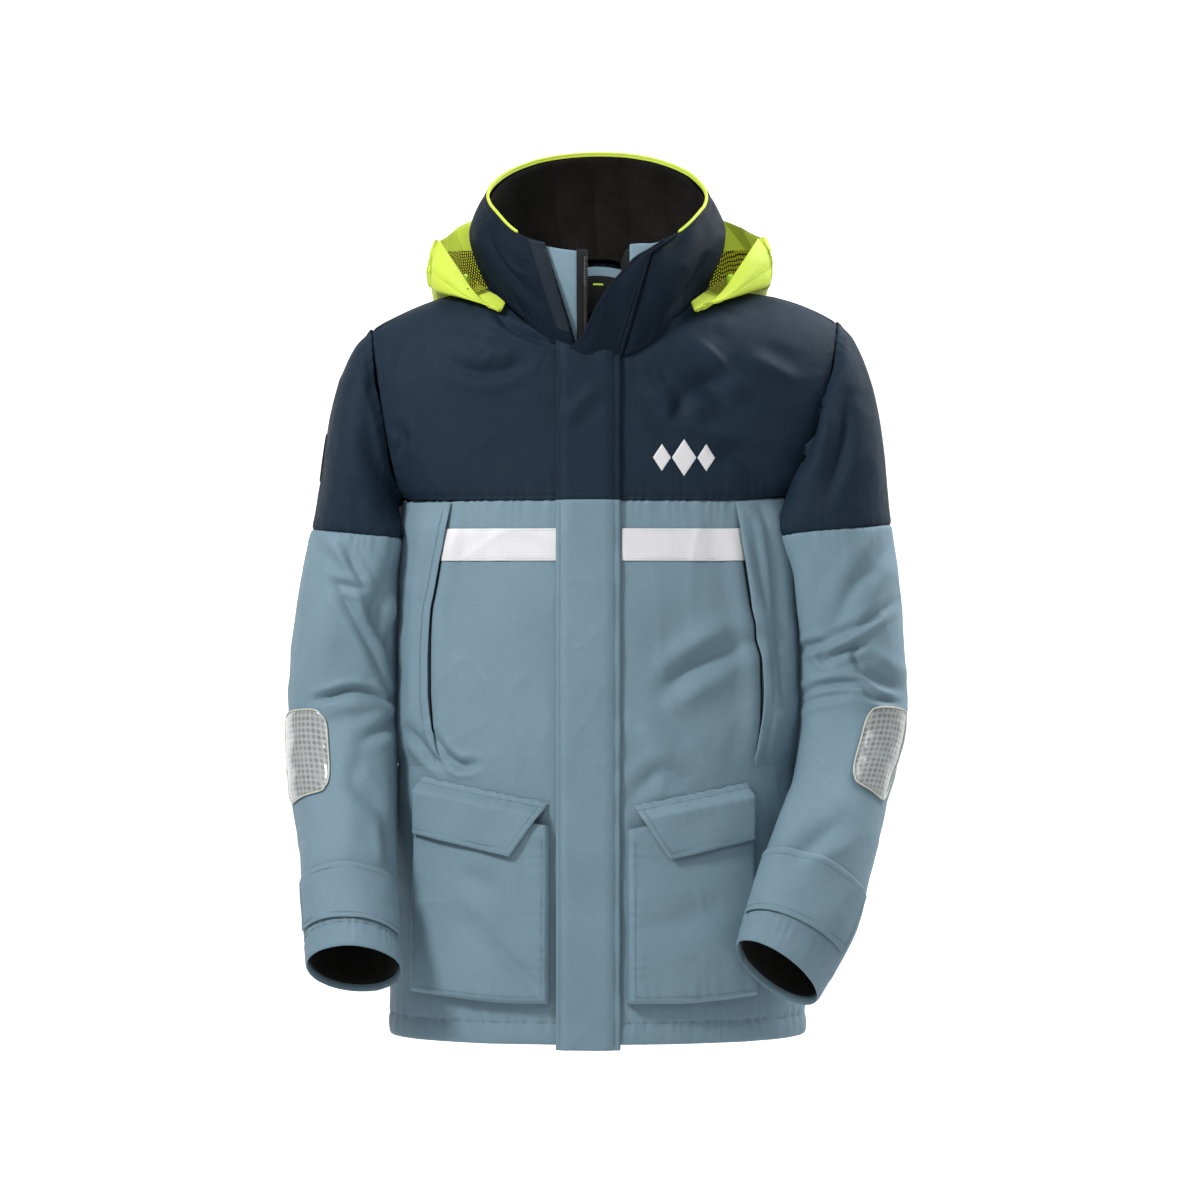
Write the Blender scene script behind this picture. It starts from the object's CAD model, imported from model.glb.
"""Looks of the foul weather jacket: dense cloth with folds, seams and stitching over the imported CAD.

Metres, +Z up, in the row frame: the wearer faces -Y and the wearer's left is +X.
"""

from itertools import product
from math import asin, pi, radians

import bpy
import numpy as np
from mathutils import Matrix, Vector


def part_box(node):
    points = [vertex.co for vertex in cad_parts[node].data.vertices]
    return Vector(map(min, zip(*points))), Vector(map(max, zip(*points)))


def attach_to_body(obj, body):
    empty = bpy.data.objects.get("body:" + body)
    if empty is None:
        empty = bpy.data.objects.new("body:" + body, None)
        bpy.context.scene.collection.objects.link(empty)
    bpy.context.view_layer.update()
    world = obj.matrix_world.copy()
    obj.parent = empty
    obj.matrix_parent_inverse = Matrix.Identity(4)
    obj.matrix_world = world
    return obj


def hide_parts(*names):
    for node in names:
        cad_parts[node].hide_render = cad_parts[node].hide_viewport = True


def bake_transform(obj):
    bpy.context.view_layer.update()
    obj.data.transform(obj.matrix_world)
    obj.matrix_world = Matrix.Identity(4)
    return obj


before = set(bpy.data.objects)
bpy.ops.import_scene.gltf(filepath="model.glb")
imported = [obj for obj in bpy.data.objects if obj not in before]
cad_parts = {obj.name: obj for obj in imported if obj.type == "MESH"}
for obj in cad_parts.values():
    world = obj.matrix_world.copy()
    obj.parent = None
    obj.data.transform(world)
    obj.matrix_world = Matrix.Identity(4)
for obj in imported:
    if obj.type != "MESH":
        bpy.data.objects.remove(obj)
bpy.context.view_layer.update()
BLUE_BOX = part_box("front_panel_right")

# ------------------------------------------------------------------ the body's measures, as in the CAD
HEM_Z = BLUE_BOX[0].z
YOKE_Z = BLUE_BOX[1].z + 0.0005
SIDE_Y = -0.060
CHEST_HALF_WIDTH = 0.2040  # over the CAD's: cloth stands proud here and meets the sleeve
HEM_HALF_WIDTH = 0.215
FRONT_DEPTH_NECK = 0.097
FRONT_DEPTH_HEM = 0.125
BACK_DEPTH = 0.128
SECTION_POWER = 2.15
SEAM = 0.0004
RIDGE_GAP = 0.0008
RIDGE_Z, RIDGE_FALL = -0.030, 0.050
TIP_X, TIP_Z = 0.238, -0.080
NECK_RADIUS = 0.112
NECK_HUMP = 0.050
NECK_DROP_FRONT, NECK_DROP_BACK = 0.078, 0.030
NECK_SHARE = 0.46
ARMHOLE_SPREAD = 0.090
COLLAR_TOP_Z, COLLAR_TOP_TILT = 0.060, 0.052
COLLAR_FLARE, COLLAR_TURN_IN, COLLAR_WIDEST = 0.020, 0.017, 0.62
HOOD_END = radians(124)
HOOD_RIM_Z = 0.012
SHELL, FLAP, FLEECE, BELLOWS = 0.0025, 0.0022, 0.0030, 0.0018  # cloth thicknesses
LINING, TAPE, FACING = 0.0012, 0.0009, 0.0008
LINING_GAP = 0.0038
YOKE_STITCH, HEM_STITCH = 0.005, 0.021  # above the yoke seam and above the hem
ZIP_X, ZIP_GAP = -0.010, 0.007
ZIP_TOP_Z, ZIP_BOTTOM_Z = -0.113, HEM_Z + 0.012
STORM_FREE_X, STORM_SEAM_X = -0.0415, 0.022
STORM_TOP_Z, STORM_HEM_Z = -0.111, HEM_Z - 0.005
LOOP_TAPE_X = (-0.0385, -0.0225)
WELT_TOP_Z, WELT_BOTTOM_Z = YOKE_Z - 0.002, -0.528
POCKET_TOP_Z, POCKET_BOTTOM_Z = -0.5635, -0.764
POCKET_INNER_X = {"right": 0.048, "left": 0.029}
POCKET_OUTER_X = {"right": 0.184, "left": 0.157}
BAND_TOP_Z, BAND_BOTTOM_Z = -0.286, -0.318
SLEEVE_HEAD = (
    (0.257, -0.099, 0.2050, -0.2600, 0.000, 0.064, 0),
    (0.275, -0.141, 0.2055, -0.2670, 0.000, 0.068, 0),
    (0.286, -0.195, 0.2060, -0.2770, 0.000, 0.073, 0),
    (0.294, -0.258, 0.2060, -0.2910, 0.000, 0.076, 0),
    (0.298, -0.285, 0.2060, -0.2960, 0.000, 0.077, 0),
    (0.306, -0.330, 0.2060, -0.3450, 0.000, 0.077, 0),
    (0.316, -0.410, 0.2060, -0.4250, 0.000, 0.074, 4),
)
FOREARM = {
    "right": (
        (0.320, -0.490, 0.2065, -0.5000, 0.008, 0.070, 12),
        (0.314, -0.560, 0.2060, -0.5700, 0.036, 0.064, 24),
        (0.303, -0.622, 0.2040, -0.6280, 0.076, 0.057, 33),
        (0.297, -0.678, 0.1990, -0.6830, 0.110, 0.051, 35),
        (0.293, -0.724, 0.1945, -0.7290, 0.138, 0.047, 35),
    ),
    "left": (
        (0.317, -0.490, 0.2060, -0.4980, 0.010, 0.070, 14),
        (0.297, -0.562, 0.1990, -0.5500, 0.046, 0.064, 27),
        (0.277, -0.632, 0.1760, -0.5980, 0.094, 0.057, 34),
        (0.257, -0.694, 0.1530, -0.6560, 0.124, 0.052, 33),
        (0.219, -0.754, 0.1365, -0.7040, 0.150, 0.048, 31),
    ),
}
COLOUR_RING, CUFF_RING = 5, 12
SIDES = {"right": -1, "left": 1}
SIDE_TURN = pi / 2 - 1e-6
EYE_Y, EYE_Z = -4.2, -0.358  # the folds are placed as seen from here
FINE = 0.0022  # spacing of the cloth's points


def smooth(t):
    t = np.clip(t, 0.0, 1.0)
    return t * t * (3 - 2 * t)


def at(*parts):
    return np.stack(np.broadcast_arrays(*parts), -1).astype(float)


def bell(x, middle, half):
    return np.exp(-(((x - middle) / half) ** 2))


def unit(v):
    return v / np.maximum(np.linalg.norm(v, axis=-1, keepdims=True), 1e-12)


def spread(low, high, step=FINE):
    return np.linspace(low, high, max(2, round(abs(high - low) / step)) + 1)


# ------------------------------------------------------------------ surfaces, as points and normals
def half_width(z):
    return CHEST_HALF_WIDTH + (HEM_HALF_WIDTH - CHEST_HALF_WIDTH) * smooth((-0.40 - z) / 0.40)


def reach(z):
    above = np.clip((z - YOKE_Z) / (TIP_Z + 0.02 - YOKE_Z), 0, 1)
    return half_width(z) + ARMHOLE_SPREAD * above**0.6


def ridge(x, back):
    hump = NECK_HUMP * np.maximum(0, 1 - (x / NECK_RADIUS) ** 2) ** 2
    return RIDGE_Z - RIDGE_FALL * (np.abs(x) / TIP_X) ** 3 + np.where(back, hump, 0)


def body_y(x, z, back):
    section = (1 - np.minimum(np.abs(x) / reach(z), 1) ** SECTION_POWER) ** (1 / SECTION_POWER)
    depth = np.where(back, 0.160, NECK_DROP_FRONT) + 0.55 * np.maximum(np.abs(x) - NECK_RADIUS, 0)
    below = np.clip((ridge(x, back) - z) / depth, 0, 1)
    full = section * np.sqrt(np.maximum(1 - (1 - below) ** 2, 0))
    fall = np.clip((-0.108 - z) / 0.70, 0, 1)
    ahead = FRONT_DEPTH_NECK + (FRONT_DEPTH_HEM - FRONT_DEPTH_NECK) * fall
    return SIDE_Y + np.where(back, SEAM + BACK_DEPTH * full, -SEAM - ahead * full)


def body(x, z, back=False):
    x, z, back = np.broadcast_arrays(x, z, back)
    step = 0.0008
    slope_x = (body_y(x + step, z, back) - body_y(x - step, z, back)) / (2 * step)
    slope_z = (body_y(x, z + step, back) - body_y(x, z - step, back)) / (2 * step)
    out = unit(at(slope_x, -1.0, slope_z)) * np.where(back, -1.0, 1.0)[..., None]
    return at(x, body_y(x, z, back), z), out


def girth(angle, z):
    """The body below the armpits by angle: 0 at centre front, 90 degrees at the left side seam."""
    angle, z = np.broadcast_arrays(angle, z)
    power = 2 / SECTION_POWER
    s, c = np.sin(angle), np.cos(angle)
    front = c > 0
    depth = np.where(front, SIDE_Y - body_y(0 * z, z, False), BACK_DEPTH)
    x = half_width(z) * np.abs(s) ** power * np.sign(s)
    y = SIDE_Y - depth * np.abs(c) ** power * np.sign(c)
    y = np.where(front, np.minimum(y, SIDE_Y - SEAM), np.maximum(y, SIDE_Y + SEAM))
    across = np.abs(s) ** (2 - power) / half_width(z) * np.sign(s)
    along = -(np.abs(c) ** (2 - power)) / depth * np.sign(c)
    return at(x, y, z), unit(at(across, along, 0.0))


def angle_of(x, z):
    return np.arcsin(np.clip(np.abs(x) / half_width(z), 0, 1) ** (SECTION_POWER / 2)) * np.sign(x)


def armhole_x(z):
    rise = np.clip((z - YOKE_Z) / (TIP_Z - YOKE_Z), 0, 1)
    return CHEST_HALF_WIDTH + (TIP_X - CHEST_HALF_WIDTH) * rise**0.8


def neck(phi):
    back = np.cos(phi) > 0
    x = NECK_RADIUS * np.sin(phi)
    z = ridge(x, back) - np.where(back, NECK_DROP_BACK, NECK_DROP_FRONT) * np.cos(phi) ** 2
    return at(x, body_y(x, z, back), z)


def flare(t):
    low = COLLAR_FLARE * np.sin(pi / 2 * np.minimum(t / COLLAR_WIDEST, 1))
    return low - COLLAR_TURN_IN * np.maximum((t - COLLAR_WIDEST) / (1 - COLLAR_WIDEST), 0) ** 1.5


def collar_at(phi, t):
    base = neck(phi)
    top = COLLAR_TOP_Z + COLLAR_TOP_TILT * np.cos(phi) - 0.010 * smooth((-np.cos(phi) - 0.35) / 0.45)
    depth = np.where(np.cos(phi) > 0, 0.75, 0.55)
    out = flare(t)
    return base + at(out * np.sin(phi), out * depth * np.cos(phi), t * (top - base[..., 2]))


def collar(phi, t):
    phi, t = np.broadcast_arrays(phi, t)
    e = 0.01
    around = collar_at(phi + e, t) - collar_at(phi - e, t)
    up = collar_at(phi, t + e) - collar_at(phi, t - e)
    out = unit(np.cross(up, around))
    facing = out[..., 0] * np.sin(phi) + out[..., 1] * np.cos(phi)
    return collar_at(phi, t), out * np.where(facing < 0, -1.0, 1.0)[..., None]


def collar_front(x, t):
    turn = np.arcsin(np.clip(np.abs(x) / (NECK_RADIUS + flare(t)), 0, 1))
    return collar((pi - turn) * np.where(x >= 0, 1, -1), t)


def ring(side, k, psi):
    sign = SIDES[side]
    head_z = YOKE_Z + (TIP_Z - YOKE_Z) * (1 + np.cos(psi)) / 2
    head_x = armhole_x(head_z) + 0.0008
    head = at(sign * head_x, body_y(head_x, head_z, np.sin(psi) < 0), head_z)
    rows = np.array(SLEEVE_HEAD + FOREARM[side])[np.clip(k, 1, CUFF_RING) - 1]
    outer_x, outer_z, inner_x, inner_z, ahead, depth, tilt = np.moveaxis(rows, -1, 0)
    outer = at(sign * outer_x, SIDE_Y - ahead, outer_z)
    inner = at(sign * inner_x, SIDE_Y - ahead, inner_z)
    tilt = np.radians(tilt)
    forward = at(0 * tilt, -np.cos(tilt), np.sin(tilt))
    c, s = np.cos(psi)[..., None], np.sin(psi)[..., None]
    loop = (outer + inner) / 2 + (outer - inner) / 2 * c + forward * depth[..., None] * s
    return np.where((k <= 0)[..., None], head, loop)


def sleeve_at(side, s, psi):
    k = np.minimum(s.astype(int), CUFF_RING - 1)
    f = (s - k)[..., None]
    a, b, c, d = (ring(side, np.clip(k + i, 0, CUFF_RING), psi) for i in (-1, 0, 1, 2))
    a = np.where((k == 0)[..., None], b * 2 - c, a)
    d = np.where((k == CUFF_RING - 1)[..., None], c * 2 - b, d)
    p = (b * 2 + (c - a) * f + (a * 2 - b * 5 + c * 4 - d) * f**2 + (b * 3 - a - c * 3 + d) * f**3) / 2
    # the part next to the chest bears against its front corner
    turn = np.degrees(np.mod(psi, 2 * pi))
    press = 0.011 * bell(turn, 128, 26) * smooth((-0.262 - p[..., 2]) / 0.03)
    p[..., 0] -= SIDES[side] * press * smooth((p[..., 2] + 0.64) / 0.08)
    if side == "left":  # its front folds over the chest's edge
        over = 0.026 * bell(turn, 135, 50) * bell(p[..., 2], -0.262, 0.075)
        p[..., 0] -= over * smooth(s / 0.6)
        p[..., 1] -= 0.4 * over * smooth(s / 0.6)
    return p


def sleeve(side, s, psi):
    s, psi = np.broadcast_arrays(np.asarray(s, float), np.asarray(psi, float))
    e = 0.02
    along = sleeve_at(side, np.minimum(s + e, CUFF_RING), psi) - sleeve_at(side, np.maximum(s - e, 0), psi)
    out = unit(np.cross(along, sleeve_at(side, s, psi + e) - sleeve_at(side, s, psi - e)))
    here = sleeve_at(side, s, psi)
    middle = (here + sleeve_at(side, s, psi + pi)) / 2
    inward = ((here - middle) * out).sum(-1, keepdims=True) < 0
    return here, np.where(inward, -out, out)


# ------------------------------------------------------------------ folds
CHANCE = np.random.default_rng(11)
PERMUTED = CHANCE.permutation(256)
SLOPES = unit(CHANCE.normal(size=(256, 3)))


def noise(points, size, seed=0):
    """Gradient noise of about -1 to 1, with features this size in metres."""
    q = np.asarray(points) / size + seed * 7.31
    cell = np.floor(q).astype(int)
    f = q - cell
    w = f**3 * (f * (f * 6 - 15) + 10)
    total = 0.0
    for corner in product((0, 1), repeat=3):
        c = cell + corner
        pick = PERMUTED[(PERMUTED[(PERMUTED[c[..., 0] & 255] + c[..., 1]) & 255] + c[..., 2]) & 255]
        share = np.prod([w[..., n] if corner[n] else 1 - w[..., n] for n in range(3)], axis=0)
        total = total + share * (SLOPES[pick] * (f - corner)).sum(-1)
    return total * 1.7


def curve_through(points, count=12):
    """A Catmull-Rom line through 2-D or 3-D points."""
    p = np.array(points, float)
    p = np.concatenate([[2 * p[0] - p[1]], p, [2 * p[-1] - p[-2]]])
    line = []
    for a, b, c, d in zip(p, p[1:], p[2:], p[3:]):
        for f in np.linspace(0, 1, count, endpoint=False):
            line.append((b * 2 + (c - a) * f + (a * 2 - b * 5 + c * 4 - d) * f**2
                         + (b * 3 - a - c * 3 + d) * f**3) / 2)
    return np.array([*line, p[-2]])


def crease(seen, line, width, depth, sharp):
    """A valley of this depth along a line, with low shoulders; a negative depth makes a ridge."""
    path = curve_through(line, 5)
    near = ((seen > path.min(0) - 6 * width) & (seen < path.max(0) + 6 * width)).all(-1)
    total = np.zeros(seen.shape[:-1])
    if not near.any():
        return total
    q = seen[near]
    best, place = np.full(len(q), 9.0), np.zeros(len(q))
    for n, (a, b) in enumerate(zip(path, path[1:])):
        along = b - a
        f = np.clip(((q - a) @ along) / (along @ along), 0, 1)
        gap = np.linalg.norm(q - a - f[:, None] * along, axis=1)
        closer = gap < best
        best = np.where(closer, gap, best)
        place = np.where(closer, (n + f) / (len(path) - 1), place)
    r = best / width
    floor = np.exp(-np.sqrt(r * r + 0.04) + 0.2) if sharp else np.exp(-r * r)
    shoulder = 0.40 * bell(r, 2.3, 1.1)
    taper = np.clip(np.sin(pi * np.clip(place * 0.94 + 0.03, 0, 1)), 0, 1) ** 0.6
    total[near] = depth * (shoulder - floor) * taper
    return total


# Folds, drawn by hand as seen from the front. All in millimetres: half width, depth (ridges are negative),
# whether the bottom is sharp, then the stroke's places across and up.
FOLDS = {
    "right": (
        (5, 5.5, True, (-278, -340), (-263, -364), (-248, -392), (-220, -444)),
        (6, -3, False, (-290, -291), (-273, -308), (-258, -329), (-246, -350)),
        (9, 4.5, False, (-212, -316), (-223, -345), (-233, -371), (-231, -389)),
        (6, 3.5, False, (-206, -379), (-210, -410), (-204, -453)),
        (8, 2.5, False, (-247, -518), (-257, -550), (-231, -574), (-217, -599)),
        (5, 3, False, (-223, -589), (-220, -615), (-218, -633)),
        (11, -2.5, False, (-294, -358), (-290, -400), (-294, -438)),
        (14, -2, False, (-266, -500), (-258, -568), (-260, -621)),
        (10, 2.5, False, (-225, -98), (-244, -148), (-239, -200), (-218, -238)),
        (16, -2.5, False, (-258, -148), (-265, -200), (-258, -253)),
        (3.5, 4, True, (-268, -302), (-257, -325), (-245, -347)),
        (3.5, 4, True, (-279, -340), (-262, -344), (-245, -347)),
        (11, 6, False, (-240, -360), (-222, -395), (-210, -430)),
        (3.5, 6, True, (-300, -464), (-283, -459), (-252, -453), (-210, -466)),
        (6, -3, False, (-292, -476), (-262, -469), (-232, -468)),
        (3.5, 4.5, True, (-224, -445), (-212, -462), (-203, -481)),
        (6, 4, False, (-248, -505), (-226, -494), (-204, -481)),
    ),
    "left": (
        (9, -4, False, (236, -140), (234, -179), (227, -213), (213, -236)),
        (7, 3.5, False, (252, -153), (249, -190), (243, -226), (235, -253)),
        (8, 5.5, False, (237, -98), (218, -153), (209, -190), (187, -253)),
        (9, 4, False, (309, -300), (288, -322), (267, -347), (244, -394)),
        (5, -2.6, False, (306, -371), (277, -389), (252, -404), (225, -416)),
        (9, 3, False, (254, -589), (233, -608), (214, -623), (209, -641)),
        (12, -2.4, False, (218, -316), (212, -358), (206, -400)),
        (3.5, 5, True, (212, -411), (226, -405), (241, -403)),
        (3, 4.5, True, (233, -407), (235, -420), (242, -424)),
        (3.5, 5, True, (244, -418), (262, -410), (278, -405)),
        (3, 4.5, True, (268, -407), (270, -420), (277, -425)),
        (4, 4.5, True, (243, -400), (282, -382), (310, -361)),
        (3.5, 5.5, True, (201, -463), (233, -449), (268, -445), (289, -455)),
        (4, 4, True, (198, -472), (233, -460), (268, -455)),
        (3.5, 5, True, (275, -455), (296, -462), (317, -466)),
        (8, 5.5, False, (270, -425), (296, -440), (322, -456)),
    ),
    "body": (
        (7, 2, False, (-153, -69), (-124, -76), (-97, -83), (-71, -95)),
        (5, 2.4, False, (-213, -206), (-206, -190), (-212, -177)),
        (7, -2.6, False, (52, -135), (73, -152), (80, -173), (162, -195)),
        (12, 3.2, False, (78, -125), (103, -127), (124, -140), (134, -156)),
        (7, -2.4, False, (97, -85), (115, -98), (132, -119), (147, -144)),
        (7, -2.2, False, (151, -104), (174, -116), (197, -131)),
        (12, 2.6, False, (124, -211), (147, -206), (176, -238)),
        (7, -1.4, False, (-37, -173), (-19, -153), (0, -135)),
        (9, 4.5, False, (69, -455), (90, -434), (113, -419), (170, -397)),
        (12, -2.2, False, (82, -425), (107, -400), (132, -381)),
        (8, 2.6, False, (34, -568), (52, -549), (69, -539), (97, -555)),
        (10, -2.4, False, (40, -490), (61, -509), (78, -526)),
        (7, 2.6, False, (-111, -713), (-95, -732), (-78, -749), (-59, -770)),
        (9, 2, False, (-141, -644), (-122, -652), (-103, -660)),
        (9, -1.6, False, (-134, -678), (-113, -689), (-98, -704)),
        (14, 1.8, False, (44, -704), (97, -689), (128, -673)),
        (12, -2.2, False, (80, -470), (108, -452), (140, -440)),
        (4.5, 4, True, (166, -262), (176, -330), (182, -400), (186, -470)),
        (3.5, 2.8, True, (156, -275), (166, -335), (172, -375)),
        (4, 5, True, (-172, -500), (-160, -520), (-145, -532), (-128, -530)),
        (4.5, 4.5, True, (-190, -495), (-176, -520), (-160, -534)),
        (6, 3.5, True, (-168, -100), (-130, -118), (-98, -116), (-80, -104)),
        (3.5, 3, True, (-110, -52), (-94, -70), (-64, -84), (-44, -90)),
        (9, 3, False, (148, -110), (120, -128), (92, -146), (70, -178)),
    ),
    "collar": (
        (7, 3, False, (-126, 10), (-107, -17), (-90, -43), (-73, -70)),
        (5, 4, True, (-118, 40), (-110, 10), (-88, -20), (-60, -46)),
        (4, 3, True, (-100, 12), (-86, -2), (-72, -8)),
        (4, 3.5, True, (116, 0), (100, -30), (74, -54)),
        (8, -2.4, False, (107, 57), (97, 20), (82, -12), (69, -43)),
        (7, 2.8, False, (120, 28), (113, -3), (97, -35), (78, -60)),
        (8, 2, False, (57, 10), (50, -22), (44, -53)),
    ),
}


def relief(points, out, where):
    """How far the cloth stands off its smooth surface."""
    p = points
    soft, fine = {"collar": (0.0020, 0.9), "hood": (0.0022, 1.2)}.get(where, (0.0019, 0.95))
    stretch = p * (1.0, 1.0, 0.62)
    warp = p + 0.012 * at(noise(p, 0.07, 5), noise(p, 0.07, 6), noise(p, 0.07, 7))
    total = soft * noise(stretch, 0.105, 1) + 0.0009 * fine * noise(stretch, 0.048, 2)
    total += 0.0007 * fine * np.clip(1 - np.abs(noise(warp * (1, 1, 0.8), 0.062, 3)) * 3.2, 0, 1) ** 2
    total += 0.00022 * fine * noise(warp, 0.017, 4)
    scale = -EYE_Y / (p[..., 1] - EYE_Y)
    seen = at(p[..., 0] * scale, EYE_Z + (p[..., 2] - EYE_Z) * scale)
    front = smooth(-out[..., 1] / 0.30)
    strength = 1.5 if where == "body" else 1.3
    for width, depth, sharp, *line in FOLDS.get(where, ()):
        fold = crease(seen, np.array(line) / 1000, width / 1000, depth * strength / 1000, sharp)
        total = total + front * fold
    return total


def lean(p):
    """The jacket doesn't hang quite evenly: its left shoulder sits higher and further out."""
    x, z = p[..., 0], p[..., 2]
    high = smooth((z + 0.42) / 0.24)
    left, right = smooth((x - 0.12) / 0.11) * high, smooth((-x - 0.16) / 0.09) * high
    return p + at(0.009 * left + 0.004 * right, 0 * x, 0.008 * left)


def raised(surface, lift, where):
    """Points and normals of a surface with its folds, this far outside it."""
    points, out = surface
    off = relief(points, out, where) + lift
    p = points + out * off[..., None]
    if where in SIDES:  # a sleeve never reaches into the body beside it
        z = p[..., 2]
        depth = np.where(p[..., 1] < SIDE_Y, SIDE_Y - body_y(0 * z, z, False), BACK_DEPTH)
        share = np.clip(np.abs(p[..., 1] - SIDE_Y) / depth, 0, 1)
        limit = half_width(z) * (1 - share**SECTION_POWER) ** (1 / SECTION_POWER) + 0.0022 + lift
        held = np.maximum(SIDES[where] * p[..., 0], limit) * SIDES[where]
        p[..., 0] = np.where((z < YOKE_Z + 0.004) & (share < 1), held, p[..., 0])
    return lean(p), out


# ------------------------------------------------------------------ materials
def node(tree, kind, **settings):
    made = tree.nodes.new(kind)
    for name, value in settings.items():
        if name.startswith("in_"):
            key = name[3:]
            made.inputs[int(key) if key.isdigit() else key.replace("_", " ")].default_value = value
        else:
            setattr(made, name, value)
    return made


def feed(tree, made, values):
    """Links or sets a node's sockets."""
    for socket, value in values:
        if isinstance(value, bpy.types.NodeSocket):
            tree.links.new(value, made.inputs[socket])
        else:
            made.inputs[socket].default_value = value


def mix_colour(tree, blend, factor, a, b):
    made = node(tree, "ShaderNodeMix", data_type="RGBA", blend_type=blend)
    feed(tree, made, ((0, factor), (6, a), (7, b)))
    return made.outputs[2]


def start_material(name):
    made = bpy.data.materials.new(name)
    made.use_nodes = True
    tree = made.node_tree
    shader = tree.nodes["Principled BSDF"]
    place = node(tree, "ShaderNodeTexCoord").outputs["UV"]
    return made, tree, shader, place


def noise_node(tree, place, size, detail=3.0, distortion=0.0):
    made = node(tree, "ShaderNodeTexNoise", in_Scale=1.0 / size, in_Detail=detail, in_Distortion=distortion)
    tree.links.new(place, made.inputs["Vector"])
    return made.outputs["Fac"]


def ranged(tree, value, low, high, to_low, to_high):
    made = node(tree, "ShaderNodeMapRange", in_1=low, in_2=high, in_3=to_low, in_4=to_high)
    tree.links.new(value, made.inputs[0])
    return made.outputs[0]


def maths(tree, operation, a, b=0.0):
    made = node(tree, "ShaderNodeMath", operation=operation)
    feed(tree, made, ((0, a), (1, b)))
    return made.outputs[0]


def multiply(tree, first, *others):
    for other in others:
        first = maths(tree, "MULTIPLY", first, other)
    return first


def mottled(tree, place, size, detail, low, high):
    """Blotches of this size that vary between two values."""
    return ranged(tree, noise_node(tree, place, size, detail), 0.3, 0.7, low, high)


def parts_of(tree, place):
    made = node(tree, "ShaderNodeSeparateXYZ")
    tree.links.new(place, made.inputs[0])
    return made.outputs


def shade(tree, shader, colour, tint):
    """The surface's colour, lighter and darker by a pattern around 1."""
    grey = node(tree, "ShaderNodeCombineColor")
    for n in range(3):
        tree.links.new(tint, grey.inputs[n])
    set_up(tree, shader, Base_Color=mix_colour(tree, "MULTIPLY", 1.0, (*colour, 1.0), grey.outputs[0]))


def set_up(tree, shader, **sockets):
    """Sets or links the shader's sockets, whose names have _ for a space."""
    feed(tree, shader, ((name.replace("_", " "), value) for name, value in sockets.items()))


def bump(tree, height, distance, before=None):
    made = node(tree, "ShaderNodeBump", in_Distance=distance, in_Strength=1.0)
    tree.links.new(height, made.inputs["Height"])
    if before is not None:
        tree.links.new(before, made.inputs["Normal"])
    return made.outputs["Normal"]


def threads(tree, place, pitch):
    """A plain weave: over and under threads of this pitch."""
    u, v = (maths(tree, "MULTIPLY", parts_of(tree, place)[n], 2 * pi / pitch) for n in (0, 1))
    ways = [multiply(tree, maths(tree, "SINE", a), maths(tree, "COSINE", maths(tree, "MULTIPLY", b, 0.5)))
            for a, b in ((u, v), (v, u))]
    return maths(tree, "MAXIMUM", *ways)


def fabric(name, colour, roughness=0.58, weave=0.0007, sheen=0.25, vary=0.10, crumple=0.00030,
           grain=0.00005, gloss=0.22, glow=0.0):
    """Woven cloth: threads, broad and close mottling, a fine crumple; only fluorescent cloth glows."""
    made, tree, shader, place = start_material(name)
    broad = mottled(tree, place, 0.09, 2, 1 - vary / 2, 1 + vary / 2)
    close = mottled(tree, place, 0.006, 4, 1 - vary / 4, 1 + vary / 4)
    weft = threads(tree, place, weave)
    shade(tree, shader, colour, multiply(tree, broad, close, ranged(tree, weft, -1, 1, 0.93, 1.04)))
    first = bump(tree, noise_node(tree, place, 0.011, 2, 0.6), crumple)
    set_up(tree, shader, Roughness=mottled(tree, place, 0.02, 3, roughness - 0.05, roughness + 0.06),
           Sheen_Weight=sheen, Sheen_Roughness=0.45, Specular_IOR_Level=gloss,
           Sheen_Tint=(*(min(1.0, c * 2 + 0.1) for c in colour), 1.0),
           Emission_Color=(*colour, 1.0), Emission_Strength=glow, Normal=bump(tree, weft, grain, first))
    return made


def fleece_material():
    made, tree, shader, place = start_material("fleece_black")
    pile = noise_node(tree, place, 0.0022, 5)
    tone = mottled(tree, place, 0.03, 3, 0.7, 1.3)
    tufted = ranged(tree, pile, 0.3, 0.7, 0.6, 1.4)
    shade(tree, shader, (0.0085, 0.0080, 0.0075), multiply(tree, tone, tufted))
    set_up(tree, shader, Roughness=0.95, Specular_IOR_Level=0.10, Sheen_Weight=0.12,
           Sheen_Tint=(0.10, 0.10, 0.10, 1), Normal=bump(tree, pile, 0.0009))
    return made


def net_material(name, thread, ground, pitch, opening=0.28, glow=0.0):
    """A knitted net: dark threads over what lies behind its holes."""
    made, tree, shader, place = start_material(name)
    u, v = parts_of(tree, place)[:2]
    diagonals = [maths(tree, operation, u, v) for operation in ("ADD", "SUBTRACT")]
    waves = (maths(tree, "SINE", maths(tree, "MULTIPLY", x, 2 * pi / pitch)) for x in diagonals)
    hole = multiply(tree, *waves)
    shown = ranged(tree, hole, opening, opening + 0.3, 0, 1)
    paint = mix_colour(tree, "MIX", shown, (*thread, 1), (*ground, 1))
    set_up(tree, shader, Base_Color=paint, Emission_Color=paint, Emission_Strength=glow, Roughness=0.75,
           Specular_IOR_Level=0.2, Normal=bump(tree, maths(tree, "MULTIPLY", hole, -1.0), 0.0004))
    return made


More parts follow.
